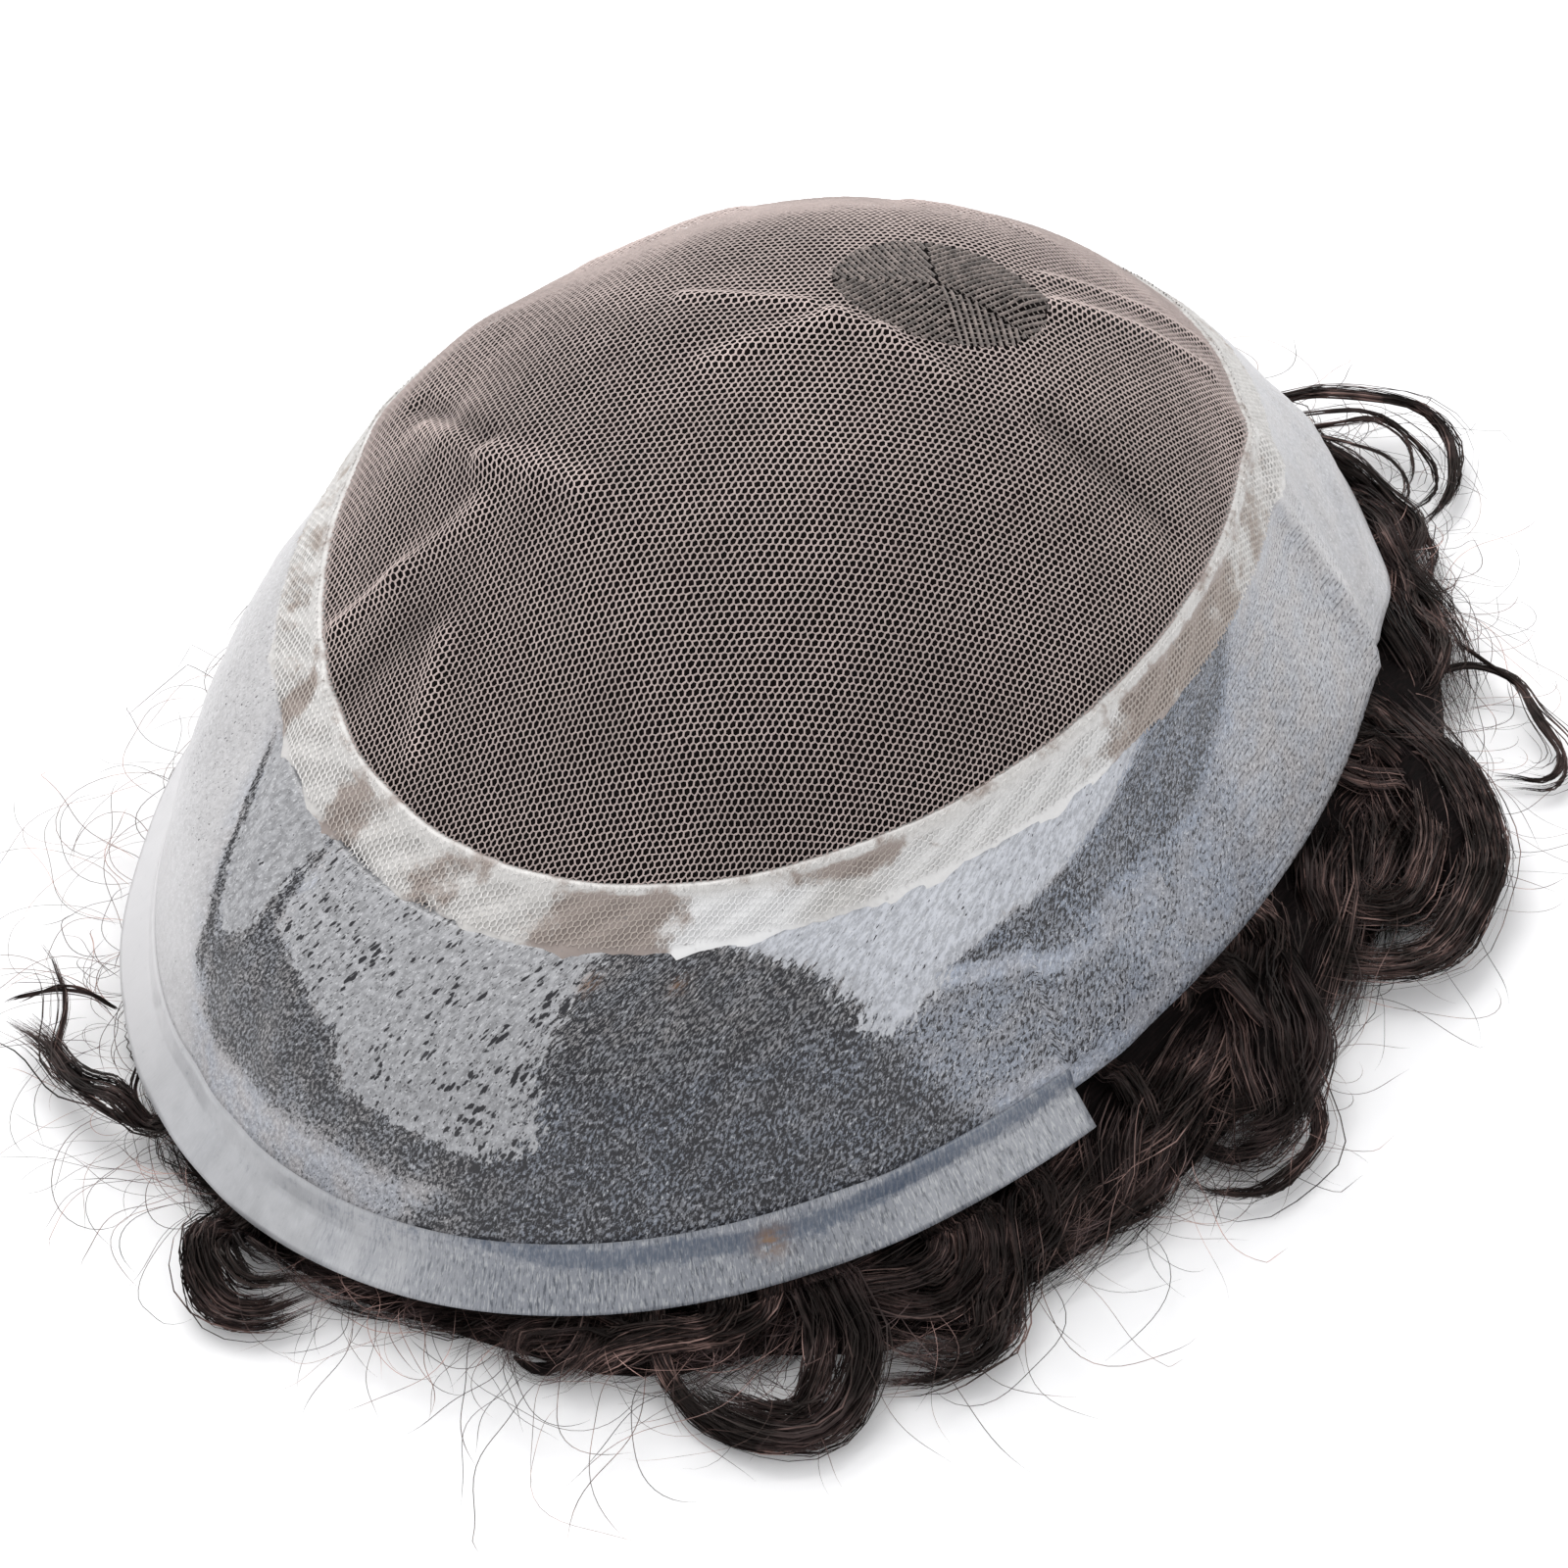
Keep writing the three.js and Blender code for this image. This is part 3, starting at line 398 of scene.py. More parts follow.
def fold_height(x, y, folds, wider=1.0):
    total = np.zeros_like(x)
    for x1, y1, x2, y2, height, width in folds:
        start = np.array([x1 * BASE_WIDTH / 2, y1 * BASE_LENGTH / 2])
        line = np.array([x2 * BASE_WIDTH / 2, y2 * BASE_LENGTH / 2]) - start
        share = ((x - start[0]) * line[0] + (y - start[1]) * line[1]) / (line @ line)
        share = np.clip(share, 0, 1)
        away = np.hypot(x - start[0] - share * line[0], y - start[1] - share * line[1])
        total += height * FOLD_HEIGHT * np.exp(-((away / (width * FOLD_WIDTH * wider)) ** 2))
    return total


def skin(station, angle, out=0.0, flare=0.0):
    """Point on the base's skin. Past the rim it goes on in the strip's flare."""
    station, angle, out, flare = (
        np.asarray(v, float) for v in np.broadcast_arrays(station, angle, out, flare)
    )
    point = smooth_point(station, angle)
    height = fold_height(point[..., 0], point[..., 1], FOLDS + CREASES)
    normal = normal_at(station, angle)
    slope = math.radians(STRIP_FLARE_ANGLE)
    away = outward(angle)
    past = flare[..., None] > 0
    tilted = away * math.sin(slope) + np.array([0, 0, math.cos(slope)])
    normal = np.where(past, tilted, normal)
    point = point + away * flare[..., None] * math.cos(slope)
    point = point - np.array([0, 0, 1.0]) * flare[..., None] * math.sin(slope)
    return point + normal * (out + height)[..., None]


STATION_GRID = np.linspace(0, SKIRT_EDGE, 251)


def slope_lengths(angles):
    """Length down the slope from the top to each of STATION_GRID, one row for each angle."""
    grid = smooth_point(STATION_GRID[None, :], np.asarray(angles, float)[:, None])
    steps = np.linalg.norm(np.diff(grid, axis=1), axis=2)
    return np.concatenate([np.zeros((len(grid), 1)), np.cumsum(steps, 1)], 1)


def station_beyond(station, angles, distance):
    """Station that lies some millimetres down the slope from another, for each angle."""
    lengths = slope_lengths(angles)
    distance = np.broadcast_to(distance, np.shape(angles))
    return np.array([
        np.interp(np.interp(station, STATION_GRID, row) + d, row, STATION_GRID)
        for row, d in zip(lengths, distance)
    ])


def under_strip(angle):
    turned = half_turn(angle)
    return (turned > -180 + STRIP_END_ANGLE) & (turned < -STRIP_END_ANGLE)


def spread_at(angle):
    rows = np.array(SPREAD, float)
    return np.interp(half_turn(angle), rows[:, 0], rows[:, 1]) * LOCK_REACH


def place_by_rim(angle, beyond, height):
    angle = np.asarray(angle, float)
    point = smooth_point(SKIRT_EDGE, angle) + outward(angle) * np.asarray(beyond)[..., None]
    point[..., 2] = height
    return point


def hair_point(station, angle, depth):
    point = smooth_point(station, angle)
    dents = tuple(fold for fold in FOLDS if fold[4] < 0)
    dent = fold_height(point[..., 0], point[..., 1], dents, 2.0)
    return point + normal_at(station, angle) * (HAIR_TOP + dent - depth)[..., None]


def frame_offset():
    """From the part's own millimetres to the frame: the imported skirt's box says where it lies."""
    angles = np.arange(0, 360, 6.0)
    rim = skin(SKIRT_EDGE, angles)
    low, high = (np.array(corner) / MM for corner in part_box("poly_skirt"))
    inside = rim[~under_strip(angles)]
    x = (low[0] + high[0]) / 2 - (inside[:, 0].min() + inside[:, 0].max()) / 2
    return np.array([x, high[1] - inside[:, 1].max(), 0.0])


OFFSET = frame_offset()


# ---------------------------------------------------------------- meshes and materials


def make_piece(name, points, faces, material, node, slot, uv=None, shares=None):
    """Mesh object from points in millimetres, which rides on the body and replaces its node."""
    mesh = bpy.data.meshes.new(name)
    faces = np.asarray(faces, np.int32)
    mesh.vertices.add(len(points))
    mesh.vertices.foreach_set("co", ((points + OFFSET) * MM).astype(np.float32).ravel())
    mesh.loops.add(faces.size)
    mesh.loops.foreach_set("vertex_index", faces.ravel())
    mesh.polygons.add(len(faces))
    starts = np.arange(0, faces.size, faces.shape[1], dtype=np.int32)
    mesh.polygons.foreach_set("loop_start", starts)
    mesh.polygons.foreach_set("use_smooth", np.ones(len(faces), bool))
    for key, values in (shares or {}).items():
        layer = mesh.attributes.new(key, "FLOAT", "POINT")
        layer.data.foreach_set("value", np.asarray(values, np.float32).ravel())
    if uv is not None:
        # A face across the seam keeps its corners on one side of it
        corner = uv[faces.ravel()].reshape(len(faces), -1, 2)
        wide = corner[..., 0].max(1) - corner[..., 0].min(1) > 0.5
        corner[wide, :, 0] += (corner[wide, :, 0] < 0.5)
        layer = mesh.uv_layers.new(name="Place")
        layer.data.foreach_set("uv", corner.astype(np.float32).ravel())
    mesh.update(calc_edges=True)
    mesh.materials.append(material)
    piece = bpy.data.objects.new(name, mesh)
    bpy.context.scene.collection.objects.link(piece)
    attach(piece, "root")
    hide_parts(node)
    return piece


def shell_faces(rows, columns, closed):
    """Quads of a thin wall between an outer and an inner grid, with its rims."""
    count = columns if closed else columns - 1
    j = np.arange(count)
    k = (j + 1) % columns
    quads = []
    inner = rows * columns
    for i in range(rows - 1):
        a, b = i * columns, (i + 1) * columns
        quads.append(np.stack([a + j, b + j, b + k, a + k], 1))
        quads.append(np.stack([a + j, a + k, b + k, b + j], 1) + inner)
    last = (rows - 1) * columns
    quads.append(np.stack([last + j, last + j + inner, last + k + inner, last + k], 1))
    quads.append(np.stack([j, k, k + inner, j + inner], 1))
    if not closed:
        i = np.arange(rows - 1) * columns
        quads.append(np.stack([i, i + inner, i + columns + inner, i + columns], 1))
        i = i + columns - 1
        quads.append(np.stack([i, i + columns, i + columns + inner, i + inner], 1))
    return np.concatenate(quads)


def make_shell(name, outer, inner, material, node, slot, closed=True, **maps):
    """Thin wall between rows of outer points and rows of inner points."""
    faces = shell_faces(len(outer), len(outer[0]), closed)
    return make_piece(name, np.concatenate(outer + inner), faces, material, node, slot, **maps)


def toned(colour, share):
    return tuple(min(1.0, c * share) for c in colour)


class Shader:
    """Node tree of one material. Noise scales count cells per metre, or per millimetre on flat film."""

    def __init__(self, name):
        self.material = bpy.data.materials.new(name)
        self.material.use_nodes = True
        self.tree = self.material.node_tree
        self.tree.nodes.clear()
        out = self.node("ShaderNodeOutputMaterial")
        self.body = self.node("ShaderNodeBsdfPrincipled")
        self.tree.links.new(self.body.outputs[0], out.inputs[0])

    def node(self, kind, **settings):
        made = self.tree.nodes.new(kind)
        for key, value in settings.items():
            setattr(made, key, value)
        return made

    def put(self, socket, value):
        if isinstance(value, bpy.types.NodeSocket):
            self.tree.links.new(value, socket)
        elif socket.type == "RGBA":
            socket.default_value = (*tuple(value)[:3], 1.0)
        else:
            socket.default_value = value

    def fill(self, made, **values):
        for key, value in values.items():
            self.put(made.inputs[key.replace("_", " ")], value)
        return made

    def set(self, **values):
        self.fill(self.body, **values)

    def place(self):
        return self.node("ShaderNodeTexCoord").outputs["Object"]

    def share(self, name):
        return self.node("ShaderNodeAttribute", attribute_name=name).outputs["Fac"]

    def uv(self):
        return self.node("ShaderNodeUVMap", uv_map="Place").outputs[0]

    def axes(self, vector):
        return self.fill(self.node("ShaderNodeSeparateXYZ"), Vector=vector).outputs

    def stretched(self, vector, scale):
        made = self.fill(self.node("ShaderNodeMapping"), Vector=vector, Scale=scale)
        return made.outputs[0]

    def noise(self, vector, scale, detail=2.0, rough=0.5, output="Fac"):
        made = self.fill(self.node("ShaderNodeTexNoise"), Vector=vector, Scale=scale,
                         Detail=detail, Roughness=rough)
        return made.outputs[output]

    def cells(self, vector, scale):
        made = self.fill(self.node("ShaderNodeTexVoronoi"), Vector=vector, Scale=scale)
        return made.outputs["Distance"]

    def math(self, kind, *values):
        made = self.node("ShaderNodeMath", operation=kind)
        for socket, value in zip(made.inputs, values):
            self.put(socket, value)
        return made.outputs[0]

    def plus(self, a, b):
        return self.math("ADD", a, b)

    def minus(self, a, b):
        return self.math("SUBTRACT", a, b)

    def times(self, a, b):
        return self.math("MULTIPLY", a, b)

    def most(self, a, b):
        return self.math("MAXIMUM", a, b)

    def sway(self, noise, amount):
        """Noise moved to swing evenly about zero."""
        return self.times(self.minus(noise, 0.5), amount)

    def between(self, value, low, high, to_low=0.0, to_high=1.0):
        made = self.node("ShaderNodeMapRange", interpolation_type="SMOOTHSTEP")
        for socket, amount in zip(made.inputs, (value, low, high, to_low, to_high)):
            self.put(socket, amount)
        return made.outputs[0]

    def blend(self, share, a, b, kind="MIX"):
        made = self.node("ShaderNodeMix", data_type="RGBA", blend_type=kind)
        for index, value in ((0, share), (6, a), (7, b)):
            self.put(made.inputs[index], value)
        return made.outputs[2]

    def shade(self, base, factor, share=1.0):
        return self.blend(share, base, factor, "MULTIPLY")

    def bump(self, height, distance, strength):
        made = self.fill(self.node("ShaderNodeBump"), Height=height, Distance=distance,
                         Strength=strength)
        self.set(Normal=made.outputs[0])


def thread_material(colour):
    """Polyester net thread: matt, pinkish beige, a little paler on its crests and creases as painted
    highlight, and darker in dented creases as painted shade.
    """
    m = Shader("Net thread")
    place = m.place()
    fine = m.noise(place, 2600.0)
    base = m.blend(m.between(m.noise(place, 900.0), 0.35, 0.65), toned(colour, 0.86), colour)
    base = m.blend(m.between(fine, 0.35, 0.75, 0.0, 0.4), base, toned(colour, 1.4))
    # Painted highlight and shade: paler where a crease rises, darker where it dips
    base = m.shade(base, m.between(m.share("CreaseLightAndShade"), -0.45, 0.5, 0.68, 1.34))
    base = m.shade(base, m.between(m.noise(place, 60.0, 4.0, 0.6), 0.3, 0.7, 0.86, 1.12))
    m.set(Base_Color=base, Roughness=m.between(fine, 0.2, 0.8, 0.55, 0.75),
          Specular_IOR_Level=0.3, Sheen_Weight=0.1)
    m.bump(m.noise(place, 5200.0), 0.00006, 0.6)
    return m.material


def rows_material(colour):
    """Crown patch: the same thread, worked tighter over hair, so darker."""
    m = Shader("Patch row thread")
    place = m.place()
    fine = m.noise(place, 3000.0)
    tone = m.between(m.noise(place, 700.0, 3.0), 0.35, 0.65)
    base = m.blend(tone, toned(colour, 0.5), toned(colour, 1.2))
    base = m.blend(m.between(fine, 0.5, 0.7, 0.0, 0.8), base, (0.045, 0.035, 0.03))
    m.set(Base_Color=base, Roughness=0.62, Sheen_Weight=0.2)
    m.bump(fine, 0.0001, 0.7)
    return m.material


def bed_material(name, colour):
    """Cropped hair roots under the net: near black, with brown fibres."""
    m = Shader(name)
    strands = m.noise(m.stretched(m.place(), (1.0, 0.16, 1.0)), 2400.0, 3.0)
    base = m.blend(m.between(strands, 0.4, 0.75), toned(colour, 0.5), toned(colour, 1.7))
    m.set(Base_Color=base, Roughness=m.between(strands, 0.3, 0.7, 0.6, 0.85),
          Specular_IOR_Level=0.06)
    m.bump(strands, 0.0003, 0.8)
    return m.material


def hair_material(name, colour, warm, gloss):
    """Hair strands: near black brown, some redder, with soft bands of painted highlight and painted
    shade along them.
    """
    m = Shader(name)
    place = m.place()
    strand = m.axes(m.uv())[0]
    base = m.blend(m.between(strand, 0.25, 1.0), colour, warm)
    # Painted highlight and shade: bands along the hair made lighter and darker in colour, for its sheen
    light = m.noise(place, 150.0, 3.0, 0.6)
    base = m.shade(base, m.between(light, 0.4, 0.68, 0.35, 3.4))
    along = m.noise(place, 260.0, 3.0)
    m.set(Base_Color=base, Roughness=m.between(along, 0.3, 0.7, gloss, gloss + 0.14),
          Specular_IOR_Level=0.22, Specular_Tint=(1.0, 0.86, 0.8))
    m.bump(m.noise(place, 3800.0), 0.00005, 0.4)
    return m.material


def hair_shows(m, cloud):
    """Where the hair shows brown through the band, in ragged patches."""
    return m.between(m.plus(m.share("Brown"), m.sway(cloud, 2.1)), 0.3, 0.75)


def band_material(colour, brown):
    """Coated net band: pale lacquer, brown where the hair shows through."""
    m = Shader("Coated band")
    place = m.place()
    cloud = m.noise(place, 240.0, 5.0, 0.68)
    fine = m.noise(place, 1500.0, 3.0)
    base = m.blend(m.between(fine, 0.35, 0.7), toned(colour, 0.92), toned(colour, 0.76))
    dull = tuple(c * share for c, share in zip(colour, (0.8, 0.79, 0.78)))
    base = m.blend(m.between(m.noise(place, 150.0, 3.0), 0.4, 0.65, 0.0, 0.5), base, dull)
    base = m.blend(m.share("White"), base, (0.71, 0.71, 0.716))
    base = m.blend(hair_shows(m, cloud), base, brown)
    dots = m.between(m.cells(place, 620.0), 0.1, 0.24, 1.0, 0.0)
    rare = m.between(m.noise(place, 330.0), 0.5, 0.62)
    base = m.blend(m.times(dots, m.times(rare, 0.7)), base, (0.16, 0.15, 0.15))
    m.set(Base_Color=base, Roughness=m.between(cloud, 0.3, 0.7, 0.34, 0.55),
          Coat_Weight=0.35, Coat_Roughness=0.2)
    m.bump(m.noise(place, 900.0, 4.0), 0.00025, 0.5)
    return m.material


def weave_material(colour):
    """Net thread under the band's lacquer."""
    m = Shader("Lacquered thread")
    place = m.place()
    cloud = m.noise(place, 240.0, 5.0, 0.68)
    base = m.blend(m.between(m.noise(place, 900.0), 0.35, 0.65), colour, toned(colour, 1.18))
    base = m.blend(m.share("White"), base, (0.77, 0.77, 0.776))
    base = m.blend(hair_shows(m, cloud), base, (0.42, 0.365, 0.33))
    m.set(Base_Color=base, Roughness=0.4, Coat_Weight=0.35, Coat_Roughness=0.2)
    m.bump(m.noise(place, 2600.0), 0.00008, 0.5)
    return m.material


def film_material(film, dark, milk):
    """Injected film: silvery clear skin full of knotted hair roots, cloudy where it lies loose."""
    m = Shader("Knotted film")
    flat = m.stretched(m.uv(), (RIM_LENGTH, FILM_DEPTH, 1.0))
    around, down, _ = m.axes(flat)
    soft = m.noise(flat, 0.06, 4.0, 0.6)
    # Dashes lean a little and are drawn out down the slope
    leant = m.fill(m.node("ShaderNodeCombineXYZ"), X=m.plus(around, m.times(down, 0.35)),
                   Y=m.times(down, 0.55)).outputs[0]
    # Torn border between cloudy and crowded film
    tear = m.noise(leant, 0.95, 4.0, 0.68)
    border = m.plus(m.sway(tear, 2.2), m.sway(m.noise(flat, 0.3, 3.0), 0.6))
    milky = m.between(m.plus(m.share("Milk"), border), 0.44, 0.56)
    heavy = m.plus(m.plus(m.share("Dark"), m.sway(soft, 0.45)), m.sway(tear, 0.25))
    # Salt and pepper of the roots: the more crowded the film, the more of the grain is dark
    grain = m.noise(leant, 2.1, 3.0, 0.75)
    drift = m.sway(m.noise(leant, 0.24, 3.0), 0.16)
    level = m.plus(m.between(heavy, -0.1, 1.0, 0.7, 0.486), drift)
    peppers = m.between(m.minus(grain, level), -0.035, 0.035)
    peppers = m.times(peppers, m.minus(1.0, milky))
    # Single roots stand out of the cloudy film as short torn dashes
    torn = m.node("ShaderNodeVectorMath", operation="ADD")
    m.put(torn.inputs[0], leant)
    m.put(torn.inputs[1], m.noise(leant, 1.3, output="Color"))
    torn = torn.outputs[0]
    dotted = m.share("Dots")
    larger = m.times(m.between(m.noise(leant, 0.3, 3.0), 0.38, 0.62, 0.02, 0.3), dotted)
    single = m.between(m.minus(larger, m.cells(torn, 0.95)), -0.06, 0.04)
    small = m.between(m.cells(torn, 1.9), 0.12, 0.28, 0.75, 0.0)
    single = m.most(single, m.times(small, dotted))
    # Rows of knots, along the slope's level lines
    rows = m.between(m.math("SINE", m.times(down, 6.6)), 0.2, 0.95)
    beads = m.between(m.noise(leant, 1.8, 1.0), 0.45, 0.6)
    knots = m.times(m.times(rows, beads), m.times(m.share("Rows"), 0.8))
    roots = m.most(m.most(peppers, single), knots)
    # Clear film, darker and bluer where it is crowded, and pale at the sides and back as painted
    # reflection
    clear = m.blend(m.between(heavy, 0.05, 1.0), film, toned(film, 0.56))
    clear = m.shade(clear, m.between(m.noise(leant, 1.6, 4.0, 0.8), 0.36, 0.64, 0.66, 1.26))
    warmth = m.between(m.noise(flat, 0.2), 0.36, 0.64)
    clear = m.shade(clear, m.blend(warmth, (0.96, 0.99, 1.03), (1.03, 1.0, 0.975)))
    clear = m.shade(clear, (0.8, 0.89, 1.02), m.times(m.share("Blue"), 0.8))
    clear = m.blend(m.share("PaintedReflection"), clear, (0.455, 0.45, 0.46))
    clear = m.shade(clear, m.between(m.noise(leant, 1.1, 4.0, 0.8), 0.36, 0.64, 0.9, 1.09))
    # Cloudy film, ridged by the tear, with painted highlight on the ridges and painted shade between
    # them
    cloud = m.between(m.noise(flat, 0.9, 4.0, 0.6), 0.3, 0.7)
    cloudy = m.blend(cloud, toned(milk, 0.86), toned(milk, 1.1))
    cloudy = m.blend(m.share("White"), cloudy, (0.43, 0.445, 0.485))
    cloudy = m.shade(cloudy, m.between(tear, 0.4, 0.6, 0.79, 1.19))
    base = m.blend(milky, clear, cloudy)
    # Painted glints: light specks put into the colour
    painted_glint = m.times(m.between(m.noise(leant, 2.5, 2.0, 0.7), 0.58, 0.66), 0.62)
    base = m.blend(painted_glint, base, (0.62, 0.63, 0.65))
    base = m.blend(roots, base, dark)
    rust = m.times(m.share("Rust"), m.between(tear, 0.42, 0.6))
    base = m.blend(rust, base, (0.2, 0.1, 0.045))
    m.set(Base_Color=base, Roughness=m.between(milky, 0.0, 1.0, 0.42, 0.3),
          Coat_Weight=0.22, Coat_Roughness=0.14, Specular_IOR_Level=0.3)
    m.bump(m.minus(m.times(tear, 0.4), m.times(roots, 0.6)), 0.00022, 0.7)
    return m.material


def strip_material(clear, line):
    """Smooth clear strip of the hairline, with the hair roots combed under it."""
    m = Shader("Hairline strip")
    flat = m.stretched(m.uv(), (RIM_LENGTH, STRIP_LAP + STRIP_FLARE, 1.0))
    combed = m.stretched(m.uv(), (RIM_LENGTH, COMB_DEPTH, 1.0))
    streak = m.noise(combed, 2.6, 4.0, 0.7)
    thick = m.plus(m.share("Roots"), m.sway(m.noise(combed, 0.16, 3.0, 0.6), 1.0))
    thick = m.between(thick, 0.05, 1.0)
    cloud = m.between(m.noise(flat, 0.3, 4.0), 0.3, 0.7)
    base = m.blend(cloud, clear, toned(clear, 0.86))
    # Painted reflection: the strip's left end made pale
    base = m.blend(m.share("PaintedReflection"), base, (0.5, 0.495, 0.507))
    base = m.blend(m.times(thick, 0.8), base, (0.16, 0.175, 0.21))
    base = m.blend(m.times(m.between(streak, 0.5, 0.62), thick), base, (0.07, 0.08, 0.1))
    pale = m.times(m.between(m.noise(combed, 4.4), 0.52, 0.64),
                   m.between(thick, 0.0, 1.0, 0.12, 0.42))
    base = m.blend(pale, base, (0.56, 0.57, 0.58))
    # Worn, ragged line where the strip's inner edge lies on the film
    ragged = m.noise(flat, 0.6, 5.0, 0.7)
    inner = m.between(m.plus(m.share("Line"), m.sway(ragged, 2.0)), 0.2, 0.8)
    worn = m.between(m.noise(combed, 3.0, 3.0, 0.7), 0.36, 0.6, 0.45, 0.9)
    base = m.blend(m.times(inner, worn), base, line)
    rust = m.times(m.share("Rust"), m.between(ragged, 0.35, 0.6))
    base = m.blend(rust, base, (0.2, 0.11, 0.055))
    m.set(Base_Color=base, Roughness=m.between(cloud, 0.0, 1.0, 0.3, 0.42),
          Coat_Weight=0.45, Coat_Roughness=0.12)
    m.bump(m.times(streak, 0.5), 0.00015, 0.4)
    return m.material


# ---------------------------------------------------------------- net and crown rows


class NetMap:
    """The net laid flat, or seen from above, to stations and angles of the base."""

    def __init__(self):
        self.angles = np.arange(0, 361, 2.0)
        self.step = 0.5
        reach = np.arange(0, 100, self.step)
        lengths = slope_lengths(self.angles)
        self.stations = np.array([np.interp(reach, row, STATION_GRID) for row in lengths])
        edge = smooth_point(NET_EDGE, self.angles)
        self.turn = np.unwrap(np.arctan2(edge[:, 1] - NET_MIDDLE, edge[:, 0]))

    def angle_of(self, u, v):
        turned = np.arctan2(v, u)
        turned = (turned - self.turn[0]) % (2 * np.pi) + self.turn[0]
        return np.interp(turned, self.turn, self.angles)

    def from_flat(self, u, v):
        angle = self.angle_of(u, v)
        row = np.clip(angle / 2.0, 0, len(self.angles) - 1.001)
        column = np.clip(np.hypot(u, v) / self.step, 0, self.stations.shape[1] - 1.001)
        i, j = row.astype(int), column.astype(int)
        p, q = row - i, column - j
        s = self.stations
        station = (
            s[i, j] * (1 - p) * (1 - q) + s[i + 1, j] * p * (1 - q)
            + s[i, j + 1] * (1 - p) * q + s[i + 1, j + 1] * p * q
        )
        return station, angle

    def from_plan(self, x, y):
        angle = self.angle_of(x, y - NET_MIDDLE)
        grid = STATION_GRID[STATION_GRID <= NET_EDGE + 1e-9]
        ring = smooth_point(grid[None, :], angle[:, None])
        plan = np.hypot(ring[..., 0], ring[..., 1] - NET_MIDDLE)
        reach = np.hypot(x, y - NET_MIDDLE)
        return np.array([np.interp(r, row, grid) for r, row in zip(reach, plan)]), angle


def in_patch(x, y, grow):
    """Whether a place lies in the crown patch, made larger by grow."""
    turn = math.radians(PATCH_TURN)
    dx, dy = x - PATCH_RIGHT, y - PATCH_BACK
    along = dx * math.cos(turn) + dy * math.sin(turn)
    across = -dx * math.sin(turn) + dy * math.cos(turn)
    along, across = along / (PATCH_LENGTH / 2 + grow), across / (PATCH_WIDTH / 2 + grow)
    return along ** 2 + across ** 2 < 1


def lattice(across, along, turn, reach):
    """Honeycomb in the plane: nodes, the corners round each node, and the threads between."""
    c, s = math.cos(turn), math.sin(turn)
    spin = np.array([[c, s], [-s, c]])
    a1, a2 = np.array([across, along / 2]), np.array([0.0, along])
    count = int(reach / min(across, along)) + 2
    grid = np.meshgrid(np.arange(-count, count), np.arange(-2 * count, 2 * count))
    i, j = (g.ravel() for g in grid)
    cell = i[:, None] * a1 + j[:, None] * a2
    keep = np.hypot(cell[:, 0], cell[:, 1]) < reach
    i, j, cell = i[keep], j[keep], cell[keep]
    up = cell + (a1 + a2) / 3
    down = cell + (2 * a1 - a2) / 3
    index = {(x, y): n for n, (x, y) in enumerate(zip(i.tolist(), j.tolist()))}
    steps = np.array([a1 - 2 * a2, -2 * a1 + a2, a1 + a2]) / 3
    threads = []
    for kind, (di, dj) in enumerate(((0, 0), (-1, 1), (0, 1))):
        for n, (x, y) in enumerate(zip(i.tolist(), j.tolist())):
            other = index.get((x + di, y + dj))
            if other is not None:
                threads.append((n, other, kind))
    return up @ spin, down @ spin, steps @ spin, np.array(threads)


def thread_corners(steps, widths, side):
    """Corners of the threads' meeting at a node, between each pair of its three threads."""
    d = steps * side
    d = d / np.linalg.norm(d, axis=1, keepdims=True)
    corners = []
    for a, b in ((0, 1), (1, 2), (2, 0)):
        sine = abs(d[a][0] * d[b][1] - d[a][1] * d[b][0])
        corners.append((d[a] * widths[b] + d[b] * widths[a]) / sine)
    return corners


def lay_threads(sizes, out, low, reach, keep, seed):
    """Net of tent-shaped threads laid on the base. keep(station, x, y) says which nodes stay."""
    rng = np.random.default_rng(seed)
    up, down, steps, threads = lattice(sizes.net_across, sizes.net_along, NET_TURN, reach)
    widths = np.array([sizes.thread, sizes.thread * 0.55, sizes.thread]) / 2
    nodes = np.concatenate([up, down])
    n = len(up)
    shake = rng.normal(0, 0.04, nodes.shape)
    wave = 0.16 * np.sin(nodes[:, ::-1] * 0.17 + np.array([0.4, 1.9]))
    wave += 0.05 * np.sin(nodes * 0.83 + np.array([2.4, 0.7]))
    # Threads look thinner at the front than at the far side
    grow = 1 + 0.12 * np.clip(nodes @ np.array([-0.64, 0.77]) / 60, -1, 1)
    nodes = nodes + shake + wave
    # Points of each node: its crest, then the corners (0,1), (1,2), (2,0)
    rounds = [thread_corners(steps, widths, 1), thread_corners(steps, widths, -1)]
    around = np.concatenate([np.zeros((2, 1, 2)), np.array(rounds)], 1)
    side = np.r_[np.zeros(n, int), np.ones(n, int)]
    flat = nodes[:, None, :] + around[side] * grow[:, None, None]
    station, angle = NetMap().from_flat(flat[..., 0], flat[..., 1])
    height = np.where(np.arange(4) == 0, out, low)[None, :] + np.zeros(station.shape)
    height[:, 0] += rng.uniform(-0.02, 0.05, len(height))
    point = smooth_point(station[:, 0], angle[:, 0])
    good = keep(station[:, 0], point[:, 0], point[:, 1])
    kept = good[threads[:, 0]] | good[threads[:, 1] + n]
    return station, angle, height, threads[kept], n, point


